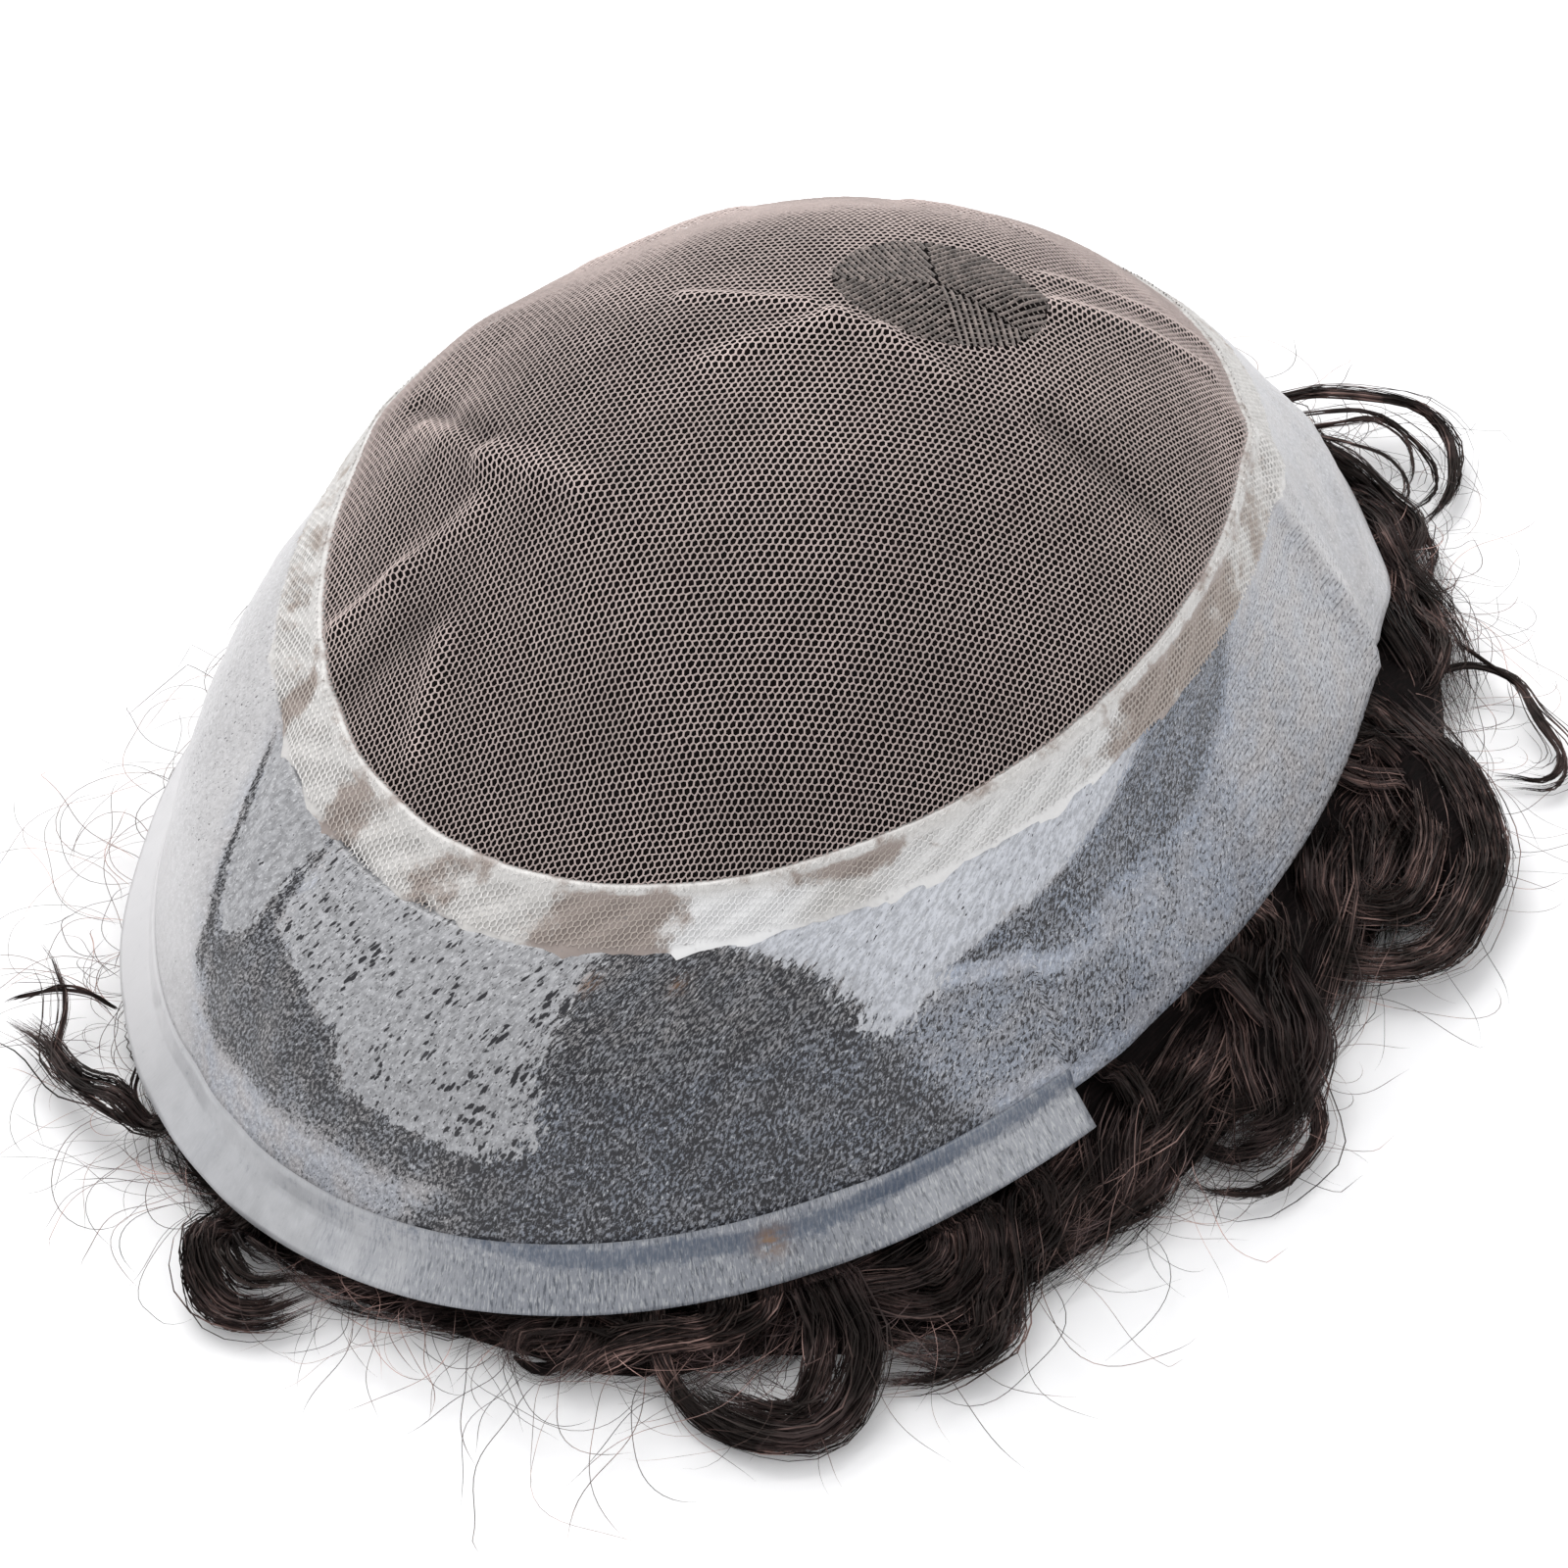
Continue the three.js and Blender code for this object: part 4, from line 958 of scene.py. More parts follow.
def net_faces(threads, n):
    """Two sloping sides for each thread, between its two nodes' crests and shared corners."""
    # Corner either side of each kind of thread
    left, right = (1, 2, 3), (3, 1, 2)
    faces = []
    for kind in range(3):
        rows = threads[threads[:, 2] == kind]
        a, b = rows[:, 0] * 4, (rows[:, 1] + n) * 4
        # Seen along the thread, one side of the up node meets the other of the down node
        faces.append(np.stack([a, b, b + right[kind], a + left[kind]], 1))
        faces.append(np.stack([a, a + right[kind], b + left[kind], b], 1))
    return np.concatenate(faces)


def compact(points, faces, extra):
    """Only the points that the faces use, with their extra values."""
    used, back = np.unique(faces, return_inverse=True)
    return points[used], back.reshape(faces.shape), [e[used] for e in extra]


# ---------------------------------------------------------------- hair


def curve_points(knots, count):
    """Centripetal curve through the knots, at even steps of its length."""
    p = np.vstack([2 * knots[0] - knots[1], knots, 2 * knots[-1] - knots[-2]])
    fine = []
    t = np.linspace(0, 1, 24, endpoint=False)[:, None]
    for k in range(len(knots) - 1):
        p0, p1, p2, p3 = p[k:k + 4]
        d0, d1, d2 = (
            max(np.linalg.norm(b - a), 1e-6) ** 0.5 for a, b in ((p0, p1), (p1, p2), (p2, p3))
        )
        t1 = ((p1 - p0) / d0 - (p2 - p0) / (d0 + d1) + (p2 - p1) / d1) * d1
        t2 = ((p2 - p1) / d1 - (p3 - p1) / (d1 + d2) + (p3 - p2) / d2) * d1
        fine.append(p1 + t1 * t + (-3 * p1 + 3 * p2 - 2 * t1 - t2) * t ** 2
                    + (2 * p1 - 2 * p2 + t1 + t2) * t ** 3)
    fine = np.vstack(fine + [knots[-1:]])
    length = np.r_[0, np.cumsum(np.linalg.norm(np.diff(fine, axis=0), axis=1))]
    even = np.linspace(0, length[-1], count)
    return np.stack([np.interp(even, length, fine[:, axis]) for axis in range(3)], 1)


def lock_line(lock, count):
    root, swing, reach, radius, start, sweep, lift, girth = lock
    half = LOCK_THICKNESS * girth / 2
    height = lift * RIM_HEIGHT
    knots = [hair_point(np.array(LOCK_ROOT), np.array(float(root)), np.array(half))]
    for turn, out, inside, up in LOCK_WAY:
        beyond = reach * LOCK_REACH * out - half * inside
        knots.append(place_by_rim(root + swing * turn, beyond, height * up))
    away = outward(np.array(float(root + swing)))
    middle = place_by_rim(root + swing, reach * LOCK_REACH, 0.0)
    heading = math.atan2(away[1], away[0])
    for share in CURL_SHARES:
        turn = heading + math.radians(start + sweep * share)
        knots.append(np.array([
            middle[0] + radius * CURL_RADIUS * math.cos(turn),
            middle[1] + radius * CURL_RADIUS * math.sin(turn),
            mix(height, half * CURL_REST, min(1.0, 2 * share)),
        ]))
    return curve_points(np.array(knots), count)


def lock_axes(line):
    along = unit(np.gradient(line, axis=0))
    across = unit(np.stack([along[:, 1], -along[:, 0], 0 * along[:, 0]], 1))
    return along, across, np.cross(across, along)


def lock_taper(t, girth):
    return girth * mix(1.0, LOCK_TIP, smoothstep(0.5, 1.0, t))


def ribbon_mesh(paths, width, lifts):
    """Flat ribbons along paths (n, m, 3). lifts points each ribbon's face."""
    n, m, _ = paths.shape
    along = unit(np.gradient(paths, axis=1))
    side = unit(np.cross(along, lifts))
    ends = np.linspace(0, 1, m)
    taper = np.clip(np.minimum(ends * 12, (1 - ends) * 6), 0.15, 1)[None, :, None]
    w = np.asarray(width).reshape(-1, 1, 1) * taper / 2
    points = np.stack([paths - side * w, paths + side * w], 2)
    base = (np.arange(n)[:, None] * m + np.arange(m - 1)[None, :]).reshape(-1, 1) * 2
    return points.reshape(-1, 3), base + np.array([0, 1, 3, 2])


def strand_uv(count, steps, rng, warm):
    """Places for the hair's material: shade of the strand, then how far along it."""
    shade = np.clip(rng.random(count) ** 1.5 * (0.5 + 0.6 * warm), 0, 0.99)
    shade = np.repeat(shade, steps * 2)
    along = np.tile(np.repeat(np.linspace(0, 1, steps), 2), count)
    return np.stack([shade, along], 1)


def lay_strands(line, wide, thick, count, steps, rng, tip):
    """Strands along a line, gathered in clumps that each keep their own place and wave."""
    groups = max(4, count // CLUMP)
    group = rng.integers(0, groups, count)

    def own(values):
        return values[group][:, None]

    length = np.linalg.norm(np.diff(line, axis=0), axis=1).sum()
    turn = own(rng.uniform(0, 2 * math.pi, groups))
    far = own(np.sqrt(rng.uniform(0.02, 1, groups)))
    drift = own(rng.normal(0, 0.5, groups))
    phase = rng.uniform(0, 6.3) + own(rng.normal(0, 0.9, groups))
    pace = length / rng.uniform(11, 20) + own(rng.normal(0, 0.12, groups))
    start, end = rng.uniform(0, 0.06, (count, 1)), 1 - own(rng.uniform(0, 0.14, groups))
    end = end - rng.uniform(0, 0.08, (count, 1))
    t = start + (end - start) * np.linspace(0, 1, steps)
    at = t * (len(line) - 1)
    low = np.clip(at.astype(int), 0, len(line) - 2)
    part = (at - low)[..., None]
    centre = line[low] * (1 - part) + line[low + 1] * part
    _, across, up = lock_axes(line)
    across, up = across[low], up[low]
    shape = mix(1.0, tip, smoothstep(0.45, 1.0, t))
    angle = turn + drift * t + 0.25 * np.sin(t * pace * 2 + phase)
    wave = 0.45 * np.sin(2 * math.pi * t * pace + phase) * smoothstep(0.0, 0.3, t)
    within = rng.normal(0, 0.24, (2, count, 1)) * (1 + 0.3 * np.sin(5 * t + phase))
    loose = np.where(rng.random((count, 1)) < 0.14, rng.normal(0, 2.2, (count, 1)), 0)
    loose = loose * smoothstep(0.2, 1.0, t)
    x = (far * np.cos(angle) + within[0]) * shape * wide / 2 + wave + loose
    y = (far * np.sin(angle) + within[1]) * shape * thick / 2 + 0.4 * wave + 0.5 * np.abs(loose)
    path = centre + across * x[..., None] + up * y[..., None]
    path = below_film(path)
    path[..., 2] = np.maximum(path[..., 2], 0.15 + 0.25 * rng.random((count, 1)))
    roll = rng.normal(0, 0.75, (count, 1, 1))
    return path, up * np.cos(roll) + across * np.sin(roll)


def below_film(paths):
    """Strands that would come up through the film or the strip are pressed down under it."""
    angles = np.arange(-180, 180, 2.0)
    rim, away = smooth_point(SKIRT_EDGE, angles), outward(angles)
    points = paths.reshape(-1, 3)
    nearest = np.concatenate([
        np.argmin(((some[:, None, :2] - rim[None, :, :2]) ** 2).sum(2), 1)
        for some in np.array_split(points, 40)
    ])
    beyond = ((points - rim[nearest])[:, :2] * away[nearest][:, :2]).sum(1)
    height, strip = rim[nearest, 2], under_strip(angles[nearest])
    roof = np.where(strip, height - 1.6 - np.clip(beyond, 0, 4.2), height - 2.2)
    roof = roof + np.where(beyond < 0, -0.75 * beyond, 0.0)
    roof = roof + 2.0 * np.maximum(beyond - np.where(strip, 4.6, 0.8), 0)
    pressed = points.copy()
    pressed[:, 2] = np.minimum(points[:, 2], np.maximum(roof, 0.4))
    return pressed.reshape(paths.shape)


def tress_line(knots, rooted, count):
    """Line of a tress from its places round the rim; it starts under the film if it is rooted."""
    angle, beyond, height = np.array(knots, float).T
    rim = smooth_point(SKIRT_EDGE, angle)[:, 2]
    roof = np.where(under_strip(angle), rim - 6.4, rim - 2.4)
    height = np.where(beyond < 5.8, np.minimum(height, roof), height)
    points = place_by_rim(angle, beyond, height)
    if rooted:
        root = hair_point(np.array([LOCK_ROOT]), angle[:1], np.array([5.0]))
        points = np.concatenate([root, points])
    return curve_points(points, count)


def lock_core(lock, steps, sides):
    """Body inside a lock, a little thinner than its strands; its material darkens it as painted shade.
    """
    line = lock_line(lock, steps)
    _, across, up = lock_axes(line)
    t = np.linspace(0, 1, steps)
    taper = lock_taper(t, lock[7]) * 0.4 * np.clip(np.minimum(1, (1 - t) * 9 + 0.25), 0, 1)
    turn = np.arange(sides) / sides * 2 * math.pi
    rings = line[:, None, :] + (
        across[:, None, :] * (np.cos(turn)[None, :] * taper[:, None] * LOCK_WIDTH / 2)[..., None]
        + up[:, None, :] * (np.sin(turn)[None, :] * taper[:, None] * LOCK_THICKNESS / 2)[...,
                                                                                         None]
    )
    rings[..., 2] = np.maximum(rings[..., 2], 0.1)
    j = np.arange(sides)
    k = (j + 1) % sides
    ring = np.stack([j, sides + j, sides + k, k], 1)
    return rings.reshape(-1, 3), np.concatenate([ring + i * sides for i in range(steps - 1)])


def join(parts):
    """One list of points and one of faces from several."""
    points, faces, start = [], [], 0
    for some, quads in parts:
        points.append(some)
        faces.append(quads + start)
        start += len(some)
    return np.concatenate(points), np.concatenate(faces)


def fringe_paths(count, steps, rng):
    """Strands that fall from under the skirt to the table and sweep round with the locks."""
    groups = count // CLUMP
    group = rng.integers(0, groups, count)

    def own(low, high, spread=0.0):
        return rng.uniform(low, high, groups)[group] + rng.normal(0, 1, count) * spread

    angle = half_turn(own(-180, 180, 1.0))
    left = (angle < -125) | (angle > 150)
    bare = under_strip(angle) & (angle > -125) & (angle < -66)
    depth = own(1.5, 6.0, 0.3)
    swept = np.where((angle > -32) & (angle < 55), 1.7, 1.0)
    swing = -own(8, 30, 1.5) * swept
    out = (spread_at(angle + swing) + 3.5) * own(0.3, 1.15, 0.08)
    out = np.where(bare, out * 0.6 + 0.5, np.where(left, out * 0.5 - 1.5, out))
    rim_z = smooth_point(SKIRT_EDGE, angle)[:, 2]
    lowest = np.where(under_strip(angle), rim_z - 6.5, rim_z - 1.6)
    top = hair_point(np.full(count, 4.45), angle, depth)
    knee = place_by_rim(angle + swing * 0.12, -own(2, 7, 0.4), lowest * own(0.6, 0.9, 0.03))
    mid = place_by_rim(angle + swing * 0.5, out * 0.5, lowest * own(0.35, 0.75, 0.04))
    wave = own(-2.5, 2.5, 0.4)
    foot = place_by_rim(angle + swing * 0.8, out + wave,
                        np.maximum(lowest * own(0.1, 0.4, 0.03), 0.3))
    tip = place_by_rim(angle + swing, out - wave, np.maximum(own(0.3, 3.0, 0.3), 0.3))
    knots = np.stack([top, knee, mid, foot, tip], 1)
    keep = ~(bare & (angle < -84) & (rng.random(count) < 0.8))
    return np.array([curve_points(k, steps) for k in knots[keep]])


def flyaway_paths(rows, steps, rng):
    """Fine loose hairs in bows round the rim. rows: angle from, angle to, how many, reach, length."""
    paths = []
    t = np.linspace(0, 1, steps)
    for low, high, count, far, long in rows:
        for _ in range(count):
            angle = rng.uniform(low, high)
            away = outward(np.array(angle))
            heading = math.atan2(away[1], away[0]) + rng.normal(-0.7, 0.9)
            length = long * rng.uniform(0.4, 1.0)
            bend = rng.normal(0, 1.0) + rng.choice([-2.2, 2.2])
            turn = heading + bend * t + rng.normal(0, 0.9) * t ** 2
            turn = turn + 0.25 * np.sin(t * rng.uniform(6, 12))
            begin = place_by_rim(angle, far * rng.uniform(-0.1, 0.55), 0.0)
            step = length / steps
            path = np.stack([begin[0] + np.cumsum(np.cos(turn)) * step,
                             begin[1] + np.cumsum(np.sin(turn)) * step, 0 * t], 1)
            path[:, 2] = mix(rng.uniform(2, 7), rng.uniform(0.4, 3), t)
            path[:, 2] += 2.5 * rng.random() * np.sin(math.pi * t)
            paths.append(path)
    return np.array(paths)


# ---------------------------------------------------------------- settings


class HairpieceSizes(bpy.types.PropertyGroup):
    net_across: FloatProperty(
        name="Net cell width",
        description="Distance between columns of net cells, in millimetres",
        default=0.76, min=0.4, max=3.0)
    net_along: FloatProperty(
        name="Net cell length",
        description="Distance between net cells along the head, in millimetres",
        default=0.99, min=0.4, max=3.0)
    thread: FloatProperty(
        name="Net thread", description="Width of the net's thicker threads, in millimetres",
        default=0.27, min=0.1, max=0.6)
    row_pitch: FloatProperty(
        name="Crown row pitch",
        description="Distance between rows of the crown patch, in millimetres",
        default=0.86, min=0.5, max=2.0)
    lock_strands: IntProperty(
        name="Strands in a lock", description="How many strands a full lock shows",
        default=150, min=20, max=200)
    tress_share: FloatProperty(
        name="Tress strands", description="Share of the table's strands that each tress gets",
        default=2.1, min=0.3, max=2.4)
    fringe_strands: IntProperty(
        name="Fringe strands", description="How many strands fall from under the skirt",
        default=6000, min=200, max=7000)


class HairpieceColours(bpy.types.PropertyGroup):
    thread: FloatVectorProperty(
        name="Net thread", description="Colour of the net thread", subtype="COLOR",
        default=(0.4, 0.33, 0.312))
    rows: FloatVectorProperty(
        name="Crown rows", description="Colour of the crown patch's thread", subtype="COLOR",
        default=(0.19, 0.156, 0.143))
    band: FloatVectorProperty(
        name="Coated band", description="Colour of the band's lacquer", subtype="COLOR",
        default=(0.615, 0.602, 0.59))
    band_brown: FloatVectorProperty(
        name="Band over hair", description="Colour of the band where hair shows through",
        subtype="COLOR", default=(0.27, 0.225, 0.206))
    film: FloatVectorProperty(
        name="Film", description="Colour of the clear film", subtype="COLOR",
        default=(0.36, 0.362, 0.384))
    roots: FloatVectorProperty(
        name="Hair roots", description="Colour of the roots in the film", subtype="COLOR",
        default=(0.014, 0.014, 0.018))
    milk: FloatVectorProperty(
        name="Cloudy film", description="Colour of the film where it is cloudy", subtype="COLOR",
        default=(0.29, 0.293, 0.308))
    strip: FloatVectorProperty(
        name="Hairline strip", description="Colour of the front strip", subtype="COLOR",
        default=(0.42, 0.425, 0.445))
    hair: FloatVectorProperty(
        name="Hair", description="Colour of the hair", subtype="COLOR",
        default=(0.0105, 0.0072, 0.0072))
    hair_warm: FloatVectorProperty(
        name="Warm hair", description="Colour of the redder strands", subtype="COLOR",
        default=(0.088, 0.056, 0.05))


# ---------------------------------------------------------------- operators


class HAIRPIECE_OT_net(bpy.types.Operator):
    """Lay the hexagonal centre net in two halves"""

    bl_idname = "hairpiece.net"
    bl_label = "Centre net"

    def execute(self, context):
        sizes, colours = context.scene.hairpiece_sizes, context.scene.hairpiece_colours

        def keep(station, x, y):
            return (station < NET_EDGE - 0.01) & ~in_patch(x, y, -0.2)

        station, angle, height, threads, n, point = lay_threads(sizes, 0.07, -0.03, 84.0, keep, 3)
        station = np.minimum(station, NET_EDGE)
        points = skin(station, angle, height)
        # Heights of the creases, for the thread's painted highlight and painted shade
        crease_light_and_shade = fold_height(points[..., 0], points[..., 1], CREASES) / FOLD_HEIGHT
        material = thread_material(colours.thread)
        front = point[threads[:, 0], 1] < NET_MIDDLE
        for name, part in (("net_front", threads[front]), ("net_back", threads[~front])):
            faces = net_faces(part, n)
            some, quads, (fold,) = compact(points.reshape(-1, 3), faces, [crease_light_and_shade.ravel()])
            piece = make_piece(name, some, quads, material, "centre_net", "net",
                               shares={"CreaseLightAndShade": fold})
        return {"FINISHED"}


class HAIRPIECE_OT_crown_rows(bpy.types.Operator):
    """Work the crown patch in rows that meet in chevrons"""

    bl_idname = "hairpiece.crown_rows"
    bl_label = "Crown rows"

    def execute(self, context):
        sizes, colours = context.scene.hairpiece_sizes, context.scene.hairpiece_colours
        rng, net_map = np.random.default_rng(11), NetMap()
        # Sectors round the patch's middle: from, to, and the rows' own direction, in degrees
        sectors = ((138, 220, -21), (220, 321, 86), (321, 373, -36), (13, 138, 83))
        step = 0.4
        paths = []
        for low, high, way in sectors:
            d = np.array([math.cos(math.radians(way)), math.sin(math.radians(way))])
            side = np.array([-d[1], d[0]])
            for k in range(-24, 25):
                t = np.arange(-20, 20, step)
                bend = 0.35 * np.sin(t * 0.21 + low)
                at = side * (k * sizes.row_pitch) + d * t[:, None] + side * bend[:, None]
                turned = (np.degrees(np.arctan2(at[:, 1], at[:, 0])) - low) % 360
                inside = (turned < high - low + 1) & in_patch(
                    at[:, 0] + PATCH_RIGHT, at[:, 1] + PATCH_BACK, -0.1 + rng.uniform(-0.3, 0.2))
                for run in np.split(np.arange(len(t)), np.where(~inside)[0]):
                    run = run[inside[run]]
                    if len(run) > 2:
                        paths.append(at[run])
        parts = []
        for path in paths:
            station, angle = net_map.from_plan(path[:, 0] + PATCH_RIGHT, path[:, 1] + PATCH_BACK)
            bead = 0.05 * np.sin(np.arange(len(path)) * 2.2 + rng.uniform(0, 6))
            line = skin(station, angle, 0.16 + bead)
            up = normal_at(station, angle)
            along = unit(np.gradient(line, axis=0))
            side = np.cross(along, up)
            width = (0.2 + 0.05 * rng.random(len(line)))[:, None]
            ring = np.stack([line - side * width - up * 0.3, line - side * width * 0.5,
                             line + side * width * 0.5, line + side * width - up * 0.3], 1)
            base = np.arange(len(line) - 1)[:, None] * 4
            quads = np.concatenate([base + np.array([q, q + 1, q + 5, q + 4]) for q in range(3)])
            parts.append((ring.reshape(-1, 3), quads))
            # Cross ties to the next row, every other step
            for i in range(rng.integers(0, 2), len(path) - 1, 2):
                tie = np.stack([line[i] - up[i] * 0.12,
                                line[i] + side[i] * sizes.row_pitch - up[i] * 0.2])
                edge = along[i] * 0.09
                corners = np.array([tie[0] - edge, tie[0] + edge, tie[1] + edge, tie[1] - edge])
                parts.append((corners, np.array([[0, 1, 2, 3]])))
        points, quads = join(parts)
        piece = make_piece("crown_rows", points, quads, rows_material(colours.rows),
                           "crown_patch", "crown_rows")
        return {"FINISHED"}


class HAIRPIECE_OT_band(bpy.types.Operator):
    """Coat the net's border, with its lip and the net showing in the coat"""

    bl_idname = "hairpiece.band"
    bl_label = "Coated band"

    def execute(self, context):
        sizes, colours = context.scene.hairpiece_sizes, context.scene.hairpiece_colours
        rng = np.random.default_rng(5)
        angles = np.arange(0, 360, 0.75)
        profile = ((-0.35, -0.2), (0.0, 0.28), (0.5, 0.42), (1.1, 0.42), (1.6, 0.28), (2.3, 0.08),
                   (3.5, 0.02), (5.0, 0.04), (6.5, 0.03), (8.0, 0.0), (8.7, -0.12), (9.1, -0.3))
        shake = np.convolve(np.tile(rng.normal(0, 1, len(angles)), 3), np.ones(9) / 9, "same")
        shake = shake[len(angles):2 * len(angles)]
        outer, inner, down = [], [], []
        for distance, raise_ in profile:
            wobble = shake * (1.9 if distance > 8 else 0.25 if distance < 2 else 0.1)
            station = station_beyond(NET_EDGE, angles, distance + wobble)
            rough = 0.1 * np.sin(angles * 0.9 + distance) * (distance > 2)
            outer.append(skin(station, angles, raise_ + rough))
            inner.append(skin(station, angles, -0.7))
            down.append(np.full(len(angles), distance))
        around, depth = np.tile(angles, len(profile) * 2), np.tile(np.ravel(down), 2)
        piece = make_shell("band_coat", outer, inner,
                           band_material(colours.band, colours.band_brown),
                           "coated_net_band", "coated_net", shares=band_shares(around, depth))

        turns = np.arange(0, 361, 2.0)
        lengths = slope_lengths(turns)
        starts = [np.interp(NET_EDGE, STATION_GRID, row) for row in lengths]
        limit = np.array([np.interp(start + 8.2, row, STATION_GRID) for start,
                          row in zip(starts, lengths)])

        def keep(station, x, y):
            around = np.degrees(np.arctan2(y - 2.7, x)) % 360
            return (station > NET_EDGE + 0.02) & (station < np.interp(around, turns, limit))

        station, angle, height, threads, n, _ = lay_threads(sizes, 0.27, 0.1, 96.0, keep, 3)
        points = skin(station, angle, height + 0.34 * smoothstep(3.12, 3.0, station))
        faces = net_faces(threads, n)
        depth = (station - NET_EDGE) / (np.interp(angle % 360, turns, limit) - NET_EDGE) * 8.2
        shares = band_shares(angle, depth)
        some, quads, extra = compact(points.reshape(-1, 3), faces,
                                     [v.ravel() for v in shares.values()])
        make_piece("band_weave", some, quads, weave_material(colours.band),
                   "coated_net_band", "coated_net", shares=dict(zip(shares, extra)))
        return {"FINISHED"}


def region(turned, share, rows, soft=2.5, fade=0.03):
    """1 between a left and a right border that run down the film. rows: share, left, right."""
    rows = np.array(rows, float)
    left, right = (np.interp(share, rows[:, 0], rows[:, k]) for k in (1, 2))
    inside = smoothstep(-soft, soft, np.minimum(turned - left, right - turned))
    low, high = rows[0, 0], rows[-1, 0]
    inside = inside * (smoothstep(low - fade, low + fade, share) if low > 0 else 1.0)
    return inside * (smoothstep(high + fade, high - fade, share) if high < 1 else 1.0)


def band_shares(angles, down):
    """Where the band's lacquer lets the hair show, and where it is white. down in millimetres."""
    turned = half_turn(angles)
    share = np.asarray(down, float) / BAND_WIDTH

    def at(left, right, top=0.0, foot=1.2, soft=3.0):
        inside = smoothstep(-soft, soft, np.minimum(turned - left, right - turned))
        return inside * smoothstep(foot + 0.2, foot - 0.2, share) * smoothstep(top - 0.2,
                                                                               top + 0.2, share)

    brown = np.maximum.reduce([
        at(-123, -119, soft=2), 0.85 * at(-106, -99, soft=4), 0.6 * at(-91, -82, soft=5),
        1.1 * at(-72, -57, soft=5),
        0.9 * at(-46, -32, foot=0.5, soft=6), 0.85 * at(-5, 24, soft=8), 0.5 * at(20, 42, soft=9),
        0.4 * at(-160, -123, soft=10), 0.36 * at(60, 180, soft=24),
    ])
    white = np.maximum(at(-58, -42, top=0.2), 0.6 * at(-34, -2, top=0.25, soft=3))
    lip = smoothstep(0.1, 0.2, share)
    return {"Brown": mix(0.36, brown, lip), "White": white * lip}


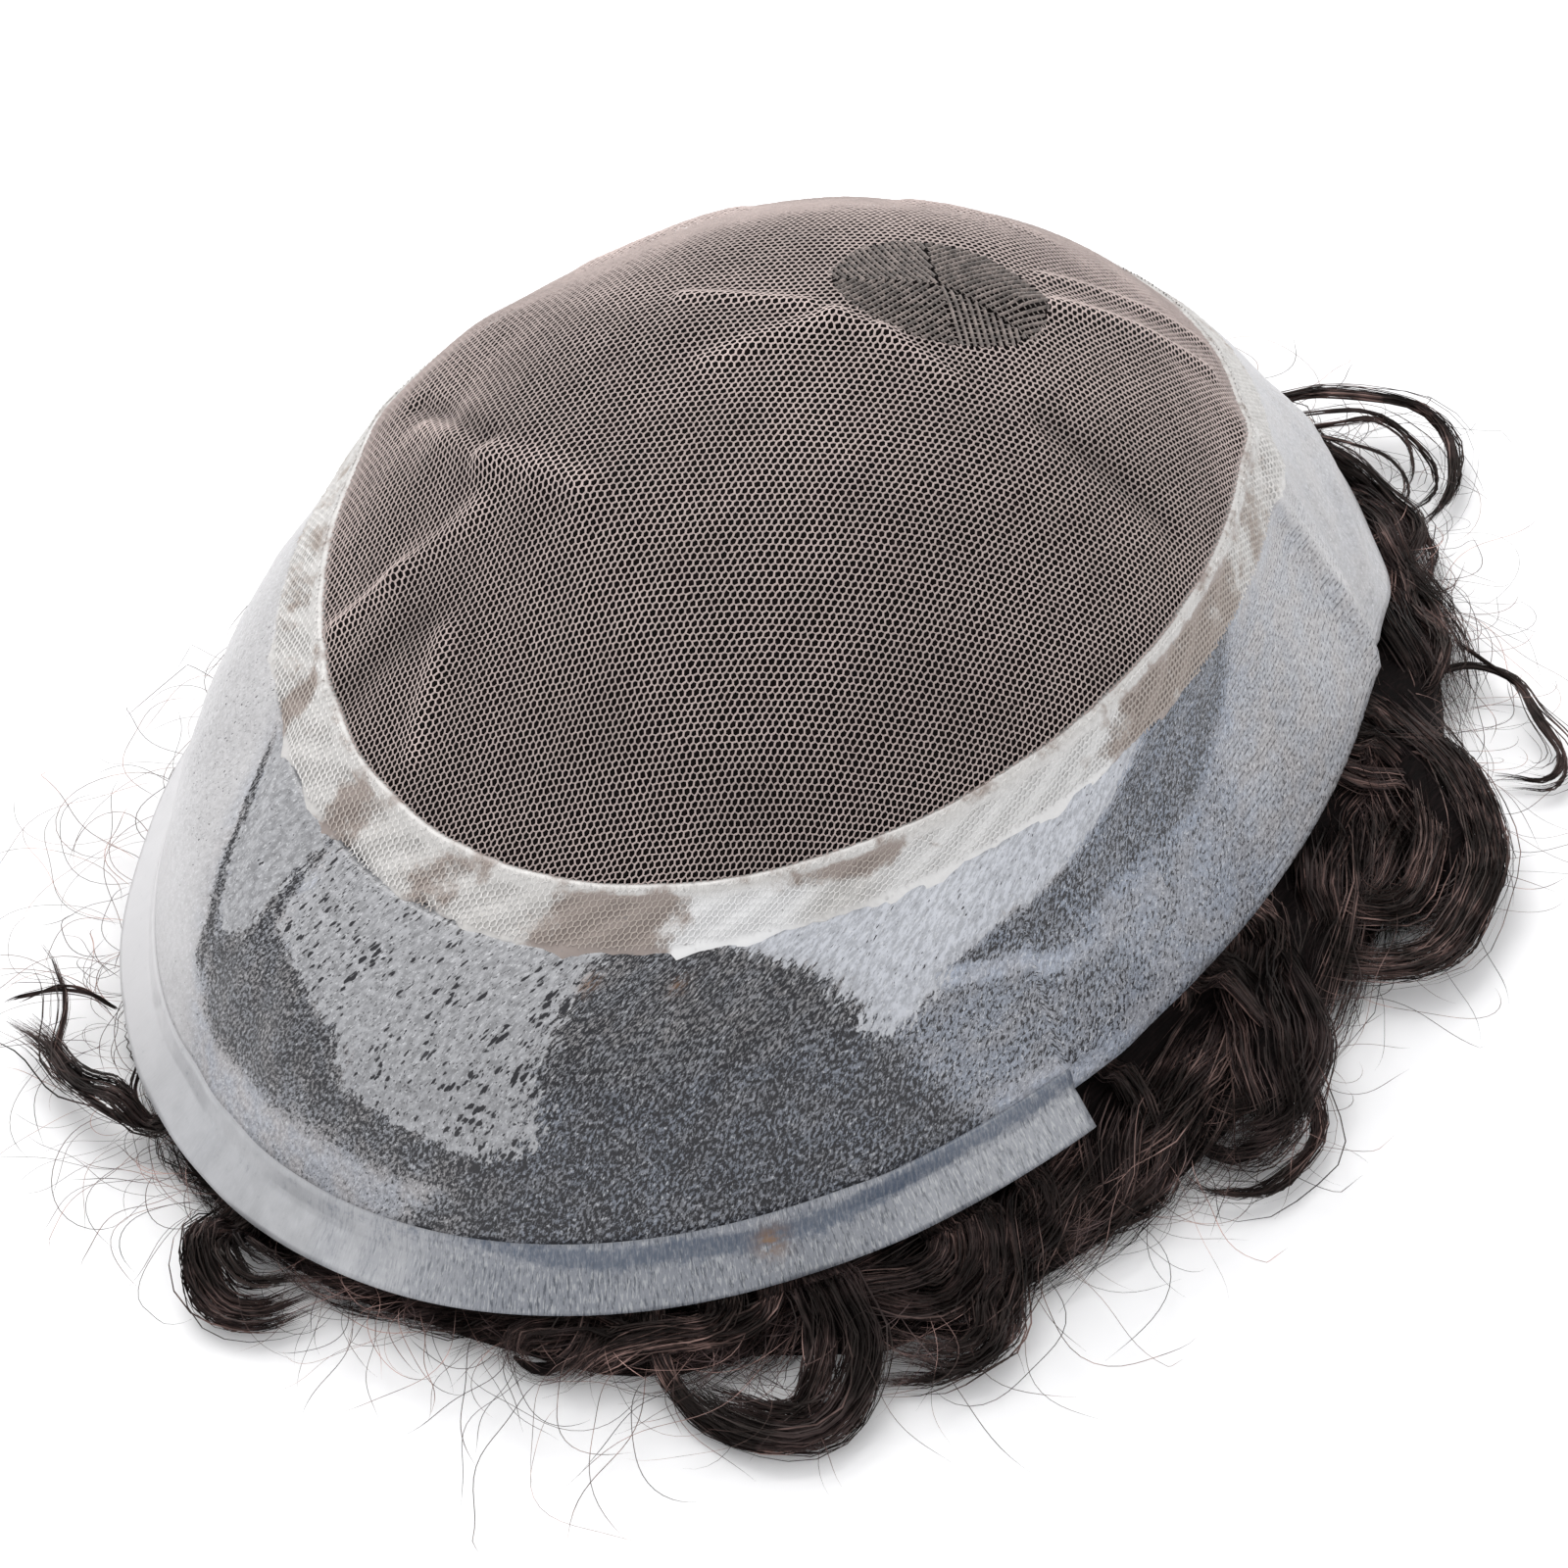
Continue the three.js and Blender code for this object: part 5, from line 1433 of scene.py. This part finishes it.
def film_shares(angles, share):
    """Where the film is cloudy, crowded, rowed, pale with painted reflection, white, blue or
    rust-spotted.
    """
    turned = half_turn(angles)

    def at(*rows, soft=4.0, fade=0.06):
        return region(turned, share, rows, soft, fade)

    def spot(angle, down, wide, tall, amount=1.0):
        return amount * np.exp(-((turned - angle) / wide) ** 2 - ((share - down) / tall) ** 2)

    wedge = at((0, -53, 3), (0.02, -50, 1), (0.16, -40, -3), (0.28, -35, -10), (0.38, -33, -23),
               (0.54, -31, -28))
    milk = np.maximum.reduce([
        at((0, -121, -103), (0.28, -115, -104), (0.4, -112, -105), (0.49, -110.5, -108),
           soft=2.2),
        at((0, -102, -64), (0.3, -101, -64), (0.38, -92, -64), (0.45, -86, -63.5),
           (0.6, -84, -62.5),
           (0.66, -74, -63), (0.72, -70, -65), soft=5.5),
        wedge,
    ])
    dark = np.maximum.reduce([
        0.95 * at((0.05, -122.2, -120.2), (0.28, -116.4, -114), (0.53, -112.4, -110),
                  (0.72, -111.4, -109.4), soft=0.7),
        0.9 * at((0, -105.2, -102), (0.34, -104.6, -101.8), soft=0.8),
        0.85 * at((0.3, -106, -99), (0.37, -108, -86), (0.47, -111, -84), (0.6, -111, -83),
                  (0.68, -110, -64),
                  (0.86, -107, -62), soft=3.0),
        1.0 * at((0, -67, -49), (0.16, -67, -38), (0.34, -67, -31), (0.5, -66, -28),
                 (0.75, -71, -25),
                 (1, -77, -22), soft=5.5),
        0.6 * at((0.36, -33, -22), (0.5, -31, -8), (0.95, -30, 0), soft=4),
        0.72 * at((0, 2, 20), (0.19, -4, 18), (0.28, -10, 16), (0.4, -25, 12), (0.52, -16, 8),
                  soft=3),
        0.5 * at((0.3, -10, 14), (1, -12, 12), soft=5),
        0.3 * at((0, 8, 30), (1, 4, 28), soft=8),
        0.2 * at((0, -142, -122), (0.6, -136, -112), soft=6),
        spot(150, 0.5, 60, 0.5, 0.2), spot(-172, 0.5, 24, 0.5, 0.2),
    ])
    dark = dark - 0.45 * at((0.37, -30.5, -26), (0.48, -23, -18), (0.6, -13, -8), soft=1.2)
    foot = np.maximum(0.42 * at((0.8, -104, -60), (1, -98, -58), soft=7),
                      0.16 * at((0.8, -124, -96), (1, -120, -90), soft=8))
    dark = np.clip(np.maximum(dark, foot) - spot(-87, 0.84, 9, 0.08, 0.35) - spot(-100, 0.86, 8,
                                                                                  0.06, 0.4), 0, 1)
    rows = np.maximum.reduce([0.9 * at((0.1, 12, 42), (1, 6, 42), soft=6),
                              spot(62, 0.4, 14, 0.4, 0.25),
                              spot(-140, 0.3, 12, 0.3, 0.3), spot(150, 0.5, 70, 0.5, 0.3)])
    # Pale with painted reflection at the sides and back
    pale = np.maximum.reduce([
        0.62 * at((0, 39, 180), (1, 38, 180), soft=2),
        1.0 * at((0, -180, -123), (0.5, -180, -114), (1, -180, -108), soft=3),
        0.95 * at((0, 39.2, 40.8), (1, 39.2, 41), soft=0.6),
        0.2 * at((0, 26, 40), (1, 22, 40), soft=6),
    ])
    dots = np.maximum.reduce([1.3 * at((0, -102, -86), (0.4, -102, -84), soft=2),
                              1.1 * at((0, -87, -63), (0.8, -84, -62)),
                              1.5 * at((0.1, -73, -62), (0.8, -74, -62), soft=3),
                              0.45 * at((0, -121, -104), (0.5, -116, -106)), 0.5 * wedge,
                              0.4 * at((0, -142, -122), (0.5, -136, -114), soft=6),
                              0.4 * spot(48, 0.4, 8, 0.4)])
    blue = np.maximum(at((0, 0, 20), (0.3, -10, 18), (0.42, -26, 14), (0.6, -14, 10), soft=4),
                      0.7 * at((0.45, -66, 12), (1, -66, 12), soft=5))
    rust = np.maximum.reduce([spot(-63, 0.12, 0.9, 0.03), spot(-53, 0.14, 0.9, 0.025, 0.8)])
    return {"Milk": milk, "Dark": dark, "Rows": rows, "PaintedReflection": pale, "White": wedge, "Dots": dots,
            "Blue": blue, "Rust": rust}


class HAIRPIECE_OT_skirt(bpy.types.Operator):
    """Form the skirt of clear film down to the rim"""

    bl_idname = "hairpiece.skirt"
    bl_label = "Film skirt"

    def execute(self, context):
        colours = context.scene.hairpiece_colours
        angles = np.arange(0, 360, 0.75)
        shares = np.linspace(0, 1, 34)
        top = station_beyond(NET_EDGE, angles, BAND_WIDTH - 0.5)
        back = np.where(under_strip(angles), -(STRIP_LAP + SEAM_GAP - 0.6), 0.0)
        edge = station_beyond(SKIRT_EDGE, angles, back)
        outer, inner = [], []
        for share in shares:
            station = mix(top, edge, share)
            ripple = 0.12 * np.sin(angles * 0.55 + share * 5) * np.sin(share * 9 + angles * 0.21)
            ripple += 0.05 * np.sin(angles * 2.3 + share * 14)
            sink = -0.25 * (share < 0.012) - 0.12
            outer.append(skin(station, angles, sink + ripple * math.sin(share * math.pi)))
            inner.append(skin(station, angles, sink - 0.35 + ripple * math.sin(share * math.pi)))
        around = np.tile(angles, len(shares) * 2)
        down = np.tile(np.repeat(shares, len(angles)), 2)
        piece = make_shell("film_skirt", outer, inner,
                           film_material(colours.film, colours.roots, colours.milk),
                           "poly_skirt", "clear_film",
                           uv=np.stack([around / 360, down], 1), shares=film_shares(around, down))
        return {"FINISHED"}


class HAIRPIECE_OT_strip(bpy.types.Operator):
    """Form the clear strip along the front hairline"""

    bl_idname = "hairpiece.strip"
    bl_label = "Hairline strip"

    def execute(self, context):
        colours = context.scene.hairpiece_colours
        angles = np.linspace(-180 + STRIP_END_ANGLE, -STRIP_END_ANGLE, 301)
        rows = [(-STRIP_LAP * (1 - k / 6), 0.0) for k in range(7)]
        rows += [(0.0, STRIP_FLARE * k / 8) for k in range(1, 9)]
        outer, inner, across = [], [], []
        for distance, flare in rows:
            station = station_beyond(SKIRT_EDGE, angles, distance)
            wave = 0.16 * np.sin(angles * 0.33) * (flare / STRIP_FLARE)
            lip = -0.17 if distance <= -STRIP_LAP else 0.0
            outer.append(skin(station, angles, 0.1 + lip + wave, flare))
            inner.append(skin(station, angles, -0.3 + wave, flare))
            across.append((distance + flare + STRIP_LAP) / (STRIP_LAP + STRIP_FLARE))
        down = np.tile(np.repeat(across, len(angles)), 2)
        around = np.tile(angles, len(rows) * 2)
        where = 0.2 + 0.12 * np.sin(around * 0.11) + 0.05 * np.sin(around * 0.31 + 1)
        strong = np.interp(around, (-165, -118, -90, -72, -58, -20, -15),
                           (0, 0.05, 0.15, 0.35, 1.0, 0.95, 0.75))
        line = strong * np.exp(-(((down - where) / 0.2) ** 2))
        roots = np.interp(around, (-165, -100, -78, -64, -40, -15),
                          (0.0, 0.03, 0.4, 0.95, 0.9, 0.65))
        # Painted reflection makes the strip pale towards its left end
        pale = smoothstep(-100, -124, around)
        rust = np.exp(-(((around + 42.5) / 1.3) ** 2) - ((down - 0.42) / 0.22) ** 2)
        piece = make_shell("strip_film", outer, inner,
                           strip_material(colours.strip, (0.05, 0.072, 0.115)),
                           "front_strip", "strip_film", closed=False,
                           uv=np.stack([(around + 180) / 360, down], 1),
                           shares={"Line": line, "Roots": roots, "PaintedReflection": pale, "Rust": rust})
        return {"FINISHED"}


class HAIRPIECE_OT_root_hair(bpy.types.Operator):
    """Set the dark hair roots under the net and its band"""

    bl_idname = "hairpiece.root_hair"
    bl_label = "Root hair"

    def execute(self, context):
        colours = context.scene.hairpiece_colours
        rng = np.random.default_rng(9)
        angles = np.arange(0, 360, 2.0)
        end = station_beyond(NET_EDGE, angles, BAND_WIDTH / 2)
        shares = np.linspace(0.004, 1, 40)
        rough = rng.uniform(-0.16, 0.16, (len(shares), len(angles)))
        outer = [skin(share * end, angles, -1.1 + rough[i]) for i, share in enumerate(shares)]
        inner = [skin(share * end, angles, -3.6 + rough[i]) for i, share in enumerate(shares)]
        make_shell("root_hair_bed", outer, inner,
                   bed_material("Root hair", colours.hair), "crown_hair", "hair")
        return {"FINISHED"}


class HAIRPIECE_OT_rim_hair(bpy.types.Operator):
    """Grow the locks, the tresses and the fringe under the rim"""

    bl_idname = "hairpiece.rim_hair"
    bl_label = "Rim hair"

    def execute(self, context):
        sizes, colours = context.scene.hairpiece_sizes, context.scene.hairpiece_colours
        rng = np.random.default_rng(21)
        strand = hair_material("Hair strands", colours.hair, colours.hair_warm, 0.36)
        # The cores stand for the hair deep in the locks and under the rim, in the hair's colour
        # darkened as painted shade
        shaded_core = bed_material("Hair core", toned(colours.hair, 0.7))

        angles = np.arange(0, 360, 3.0)
        spread = spread_at(angles)
        rim = smooth_point(SKIRT_EDGE, angles)[:, 2]
        room = np.where(under_strip(angles), rim - 5.2, rim) - 1.2
        shares = (0.0, 0.33, 0.66, 0.85)
        top = station_beyond(NET_EDGE, angles, BAND_WIDTH / 2 + 0.3)
        edge = station_beyond(SKIRT_EDGE, angles, np.where(under_strip(angles), -3.9, 0.0))
        zero = np.zeros(len(angles))
        outer = [hair_point(mix(top, edge, s), angles, zero) for s in shares]
        outer += [place_by_rim(angles, zero - 5.0, room * 0.85),
                  place_by_rim(angles, spread * 0.5, room * 0.62),
                  place_by_rim(angles, spread, room * 0.4),
                  place_by_rim(angles, spread + 2.0, 0.12)]
        inner = [hair_point(mix(top, edge, s), angles, zero + mix(3, 11, s ** 2)) for s in shares]
        inner += [place_by_rim(angles, zero - 16, room * 0.85),
                  place_by_rim(angles, zero - 16, room * 0.6),
                  place_by_rim(angles, zero - 16, room * 0.3),
                  place_by_rim(angles, zero - 16, 0.12)]
        make_shell("fringe_core", outer, inner, shaded_core, "rim_hair", "hair")

        cores = join([lock_core(lock, 30, 12) for lock in LOCKS
                      if lock[0] not in TRACED and lock[7] > CORE_GIRTH])
        make_piece("lock_cores", *cores, shaded_core, "rim_hair", "hair")

        def strands(name, rows, steps):
            """rows: line, width, thickness, how many, warmth, tip."""
            parts, uvs = [], []
            for line, wide, thick, count, warm, tip in rows:
                paths, lifts = lay_strands(line, wide, thick, count, steps, rng, tip)
                width = rng.uniform(0.08, 0.22, count)
                parts.append(ribbon_mesh(paths, width, lifts))
                uvs.append(strand_uv(count, steps, rng, warm))
            make_piece(name, *join(parts), strand, "rim_hair", "hair", uv=np.concatenate(uvs))

        rows = []
        for lock in LOCKS:
            if lock[0] not in TRACED:
                count = int(sizes.lock_strands * mix(0.45, 1.4, lock[7]))
                girth = lock[7] * 1.04
                rows.append((lock_line(lock, LINE_STEPS), LOCK_WIDTH * girth,
                             LOCK_THICKNESS * girth, count, 0.4, LOCK_TIP))
        strands("locks", rows, LOCK_STEPS)
        for name, some in (("tresses_right", TRESSES[:23]), ("tresses_front", TRESSES[23:])):
            rows = [(tress_line(knots, rooted, LINE_STEPS), wide, thick,
                     int(count * sizes.tress_share), warm, 0.75)
                    for wide, thick, count, warm, rooted, knots in some]
            strands(name, rows, TRESS_STEPS)
        paths = fringe_paths(sizes.fringe_strands, FRINGE_STEPS, rng)
        count = len(paths)
        paths = below_film(paths)
        paths[..., 2] = np.maximum(paths[..., 2], 0.2)
        lifts = np.broadcast_to(np.array([0, 0, 1.0]), paths.shape) + rng.normal(0, 0.5,
                                                                                 (count, 1, 3))
        points, quads = ribbon_mesh(paths, rng.uniform(0.07, 0.18, count), lifts)
        make_piece("fringe_strands", points, quads, strand, "rim_hair", "hair",
                   uv=strand_uv(count, FRINGE_STEPS, rng, 0.5))
        return {"FINISHED"}


class HAIRPIECE_OT_stray_hair(bpy.types.Operator):
    """Scatter the fine loose hairs round the rim"""

    bl_idname = "hairpiece.stray_hair"
    bl_label = "Stray hair"

    def execute(self, context):
        colours = context.scene.hairpiece_colours
        rng = np.random.default_rng(33)
        fine = hair_material("Stray hair", toned(colours.hair, 3),
                             toned(colours.hair_warm, 2), 0.4)
        rows = ((-104, -88, 36, 12, 26), (-86, -60, 84, 10, 22), (-62, -40, 76, 24, 34),
                (-40, -8, 110, 24, 34),
                (-12, 12, 110, 24, 30), (12, 40, 110, 24, 32), (40, 62, 90, 18, 28),
                (60, 90, 60, 22, 30),
                (90, 180, 50, 10, 30), (-180, -150, 30, 9, 34), (-150, -128, 36, 10, 36),
                (-128, -104, 60, 14, 30))
        paths = flyaway_paths(rows, STRAY_STEPS, rng)
        low, high = (np.array(corner) / MM - OFFSET for corner in CAD_BOX)
        paths[..., :2] = np.clip(paths[..., :2], low[:2] - 9, high[:2] + 9)
        lifts = np.broadcast_to(np.array([0, 0, 1.0]), paths.shape)
        points, quads = ribbon_mesh(paths, rng.uniform(0.05, 0.11, len(paths)), lifts)
        make_piece("stray_hairs", points, quads, fine, "rim_hair", "hair",
                   uv=strand_uv(len(paths), STRAY_STEPS, rng, 0.9))
        return {"FINISHED"}


class HAIRPIECE_OT_stage(bpy.types.Operator):
    """Set the pale floor, the soft light and the camera"""

    bl_idname = "hairpiece.stage"
    bl_label = "Stage"

    def execute(self, context):
        scene = context.scene
        m = Shader("White floor")
        tone = m.noise(m.place(), 3.0, 2.0)
        m.set(Base_Color=m.blend(tone, (0.93, 0.93, 0.945), (0.955, 0.955, 0.965)),
              Roughness=0.7, Specular_IOR_Level=0.2)
        mesh = bpy.data.meshes.new("white_floor")
        half = 4.0
        mesh.from_pydata([(-half, -half, 0), (half, -half, 0), (half, half, 0), (-half, half, 0)],
                         [], [(0, 1, 2, 3)])
        mesh.materials.append(m.material)
        floor = bpy.data.objects.new("white_floor", mesh)
        scene.collection.objects.link(floor)

        world = bpy.data.worlds.new("Soft white room")
        world.use_nodes = True
        back = world.node_tree.nodes["Background"]
        back.inputs["Color"].default_value = (1.0, 1.0, 1.0, 1.0)
        back.inputs["Strength"].default_value = 0.85
        scene.world = world

        def softbox(name, place, size, watts, colour=(1, 1, 1)):
            light = bpy.data.lights.new(name, "AREA")
            light.shape = "RECTANGLE"
            light.size, light.size_y = size
            light.energy = watts
            light.color = colour
            lamp = bpy.data.objects.new(name, light)
            lamp.location = place
            lamp.rotation_euler = (Vector((0, 0, 0.03)) - Vector(place)).to_track_quat("-Z",
                                                                                       "Y").to_euler()
            scene.collection.objects.link(lamp)

        softbox("key_softbox", (-0.55, 0.25, 0.9), (0.7, 0.7), 7.4, (1.0, 0.99, 0.98))
        softbox("front_softbox", (-0.25, -0.9, 0.45), (0.6, 0.35), 0.9, (0.97, 0.98, 1.0))
        softbox("right_softbox", (0.9, 0.1, 0.55), (0.4, 0.6), 1.5)

        azimuth, elevation = math.radians(CAMERA_AZIMUTH), math.radians(CAMERA_ELEVATION)
        toward = Vector((math.sin(azimuth) * math.cos(elevation),
                         -math.cos(azimuth) * math.cos(elevation), math.sin(elevation)))
        right = Vector((math.cos(azimuth), math.sin(azimuth), 0))
        up = toward.cross(right)
        aim = Vector(((-0.44 + OFFSET[0]) * MM, (-0.58 + OFFSET[1]) * MM,
                      (-7.23 + RIM_HEIGHT) * MM))
        lens = bpy.data.cameras.new("studio_camera")
        lens.sensor_width = 36.0
        lens.lens = FOCAL_PIXELS * lens.sensor_width / IMAGE_SIDE
        lens.clip_start, lens.clip_end = 0.01, 20
        camera = bpy.data.objects.new("studio_camera", lens)
        turn = Matrix((right, up, toward)).transposed().to_4x4()
        camera.matrix_world = Matrix.Translation(aim + toward * CAMERA_DISTANCE) @ turn
        scene.collection.objects.link(camera)
        scene.camera = camera
        scene.view_settings.view_transform = "Standard"
        return {"FINISHED"}


STEPS = (
    HAIRPIECE_OT_stage, HAIRPIECE_OT_root_hair, HAIRPIECE_OT_net, HAIRPIECE_OT_crown_rows,
    HAIRPIECE_OT_band, HAIRPIECE_OT_skirt, HAIRPIECE_OT_strip, HAIRPIECE_OT_rim_hair,
    HAIRPIECE_OT_stray_hair,
)


class HAIRPIECE_PT_panel(bpy.types.Panel):
    """Panel that lists the hairpiece's parts and settings"""

    bl_idname = "HAIRPIECE_PT_panel"
    bl_label = "Hairpiece"
    bl_space_type = "VIEW_3D"
    bl_region_type = "UI"
    bl_category = "Hairpiece"

    def draw(self, context):
        column = self.layout.column()
        for group in (context.scene.hairpiece_sizes, context.scene.hairpiece_colours):
            for key in group.__annotations__:
                column.prop(group, key)
        for step in STEPS:
            column.operator(step.bl_idname)


CLASSES = (HairpieceSizes, HairpieceColours, *STEPS, HAIRPIECE_PT_panel)


def register():
    for cls in CLASSES:
        bpy.utils.register_class(cls)
    bpy.types.Scene.hairpiece_sizes = PointerProperty(type=HairpieceSizes)
    bpy.types.Scene.hairpiece_colours = PointerProperty(type=HairpieceColours)


def unregister():
    del bpy.types.Scene.hairpiece_colours
    del bpy.types.Scene.hairpiece_sizes
    for cls in reversed(CLASSES):
        bpy.utils.unregister_class(cls)


def main():
    register()
    for step in STEPS:
        group, name = step.bl_idname.split(".")
        getattr(getattr(bpy.ops, group), name)()


if __name__ == "__main__":
    main()
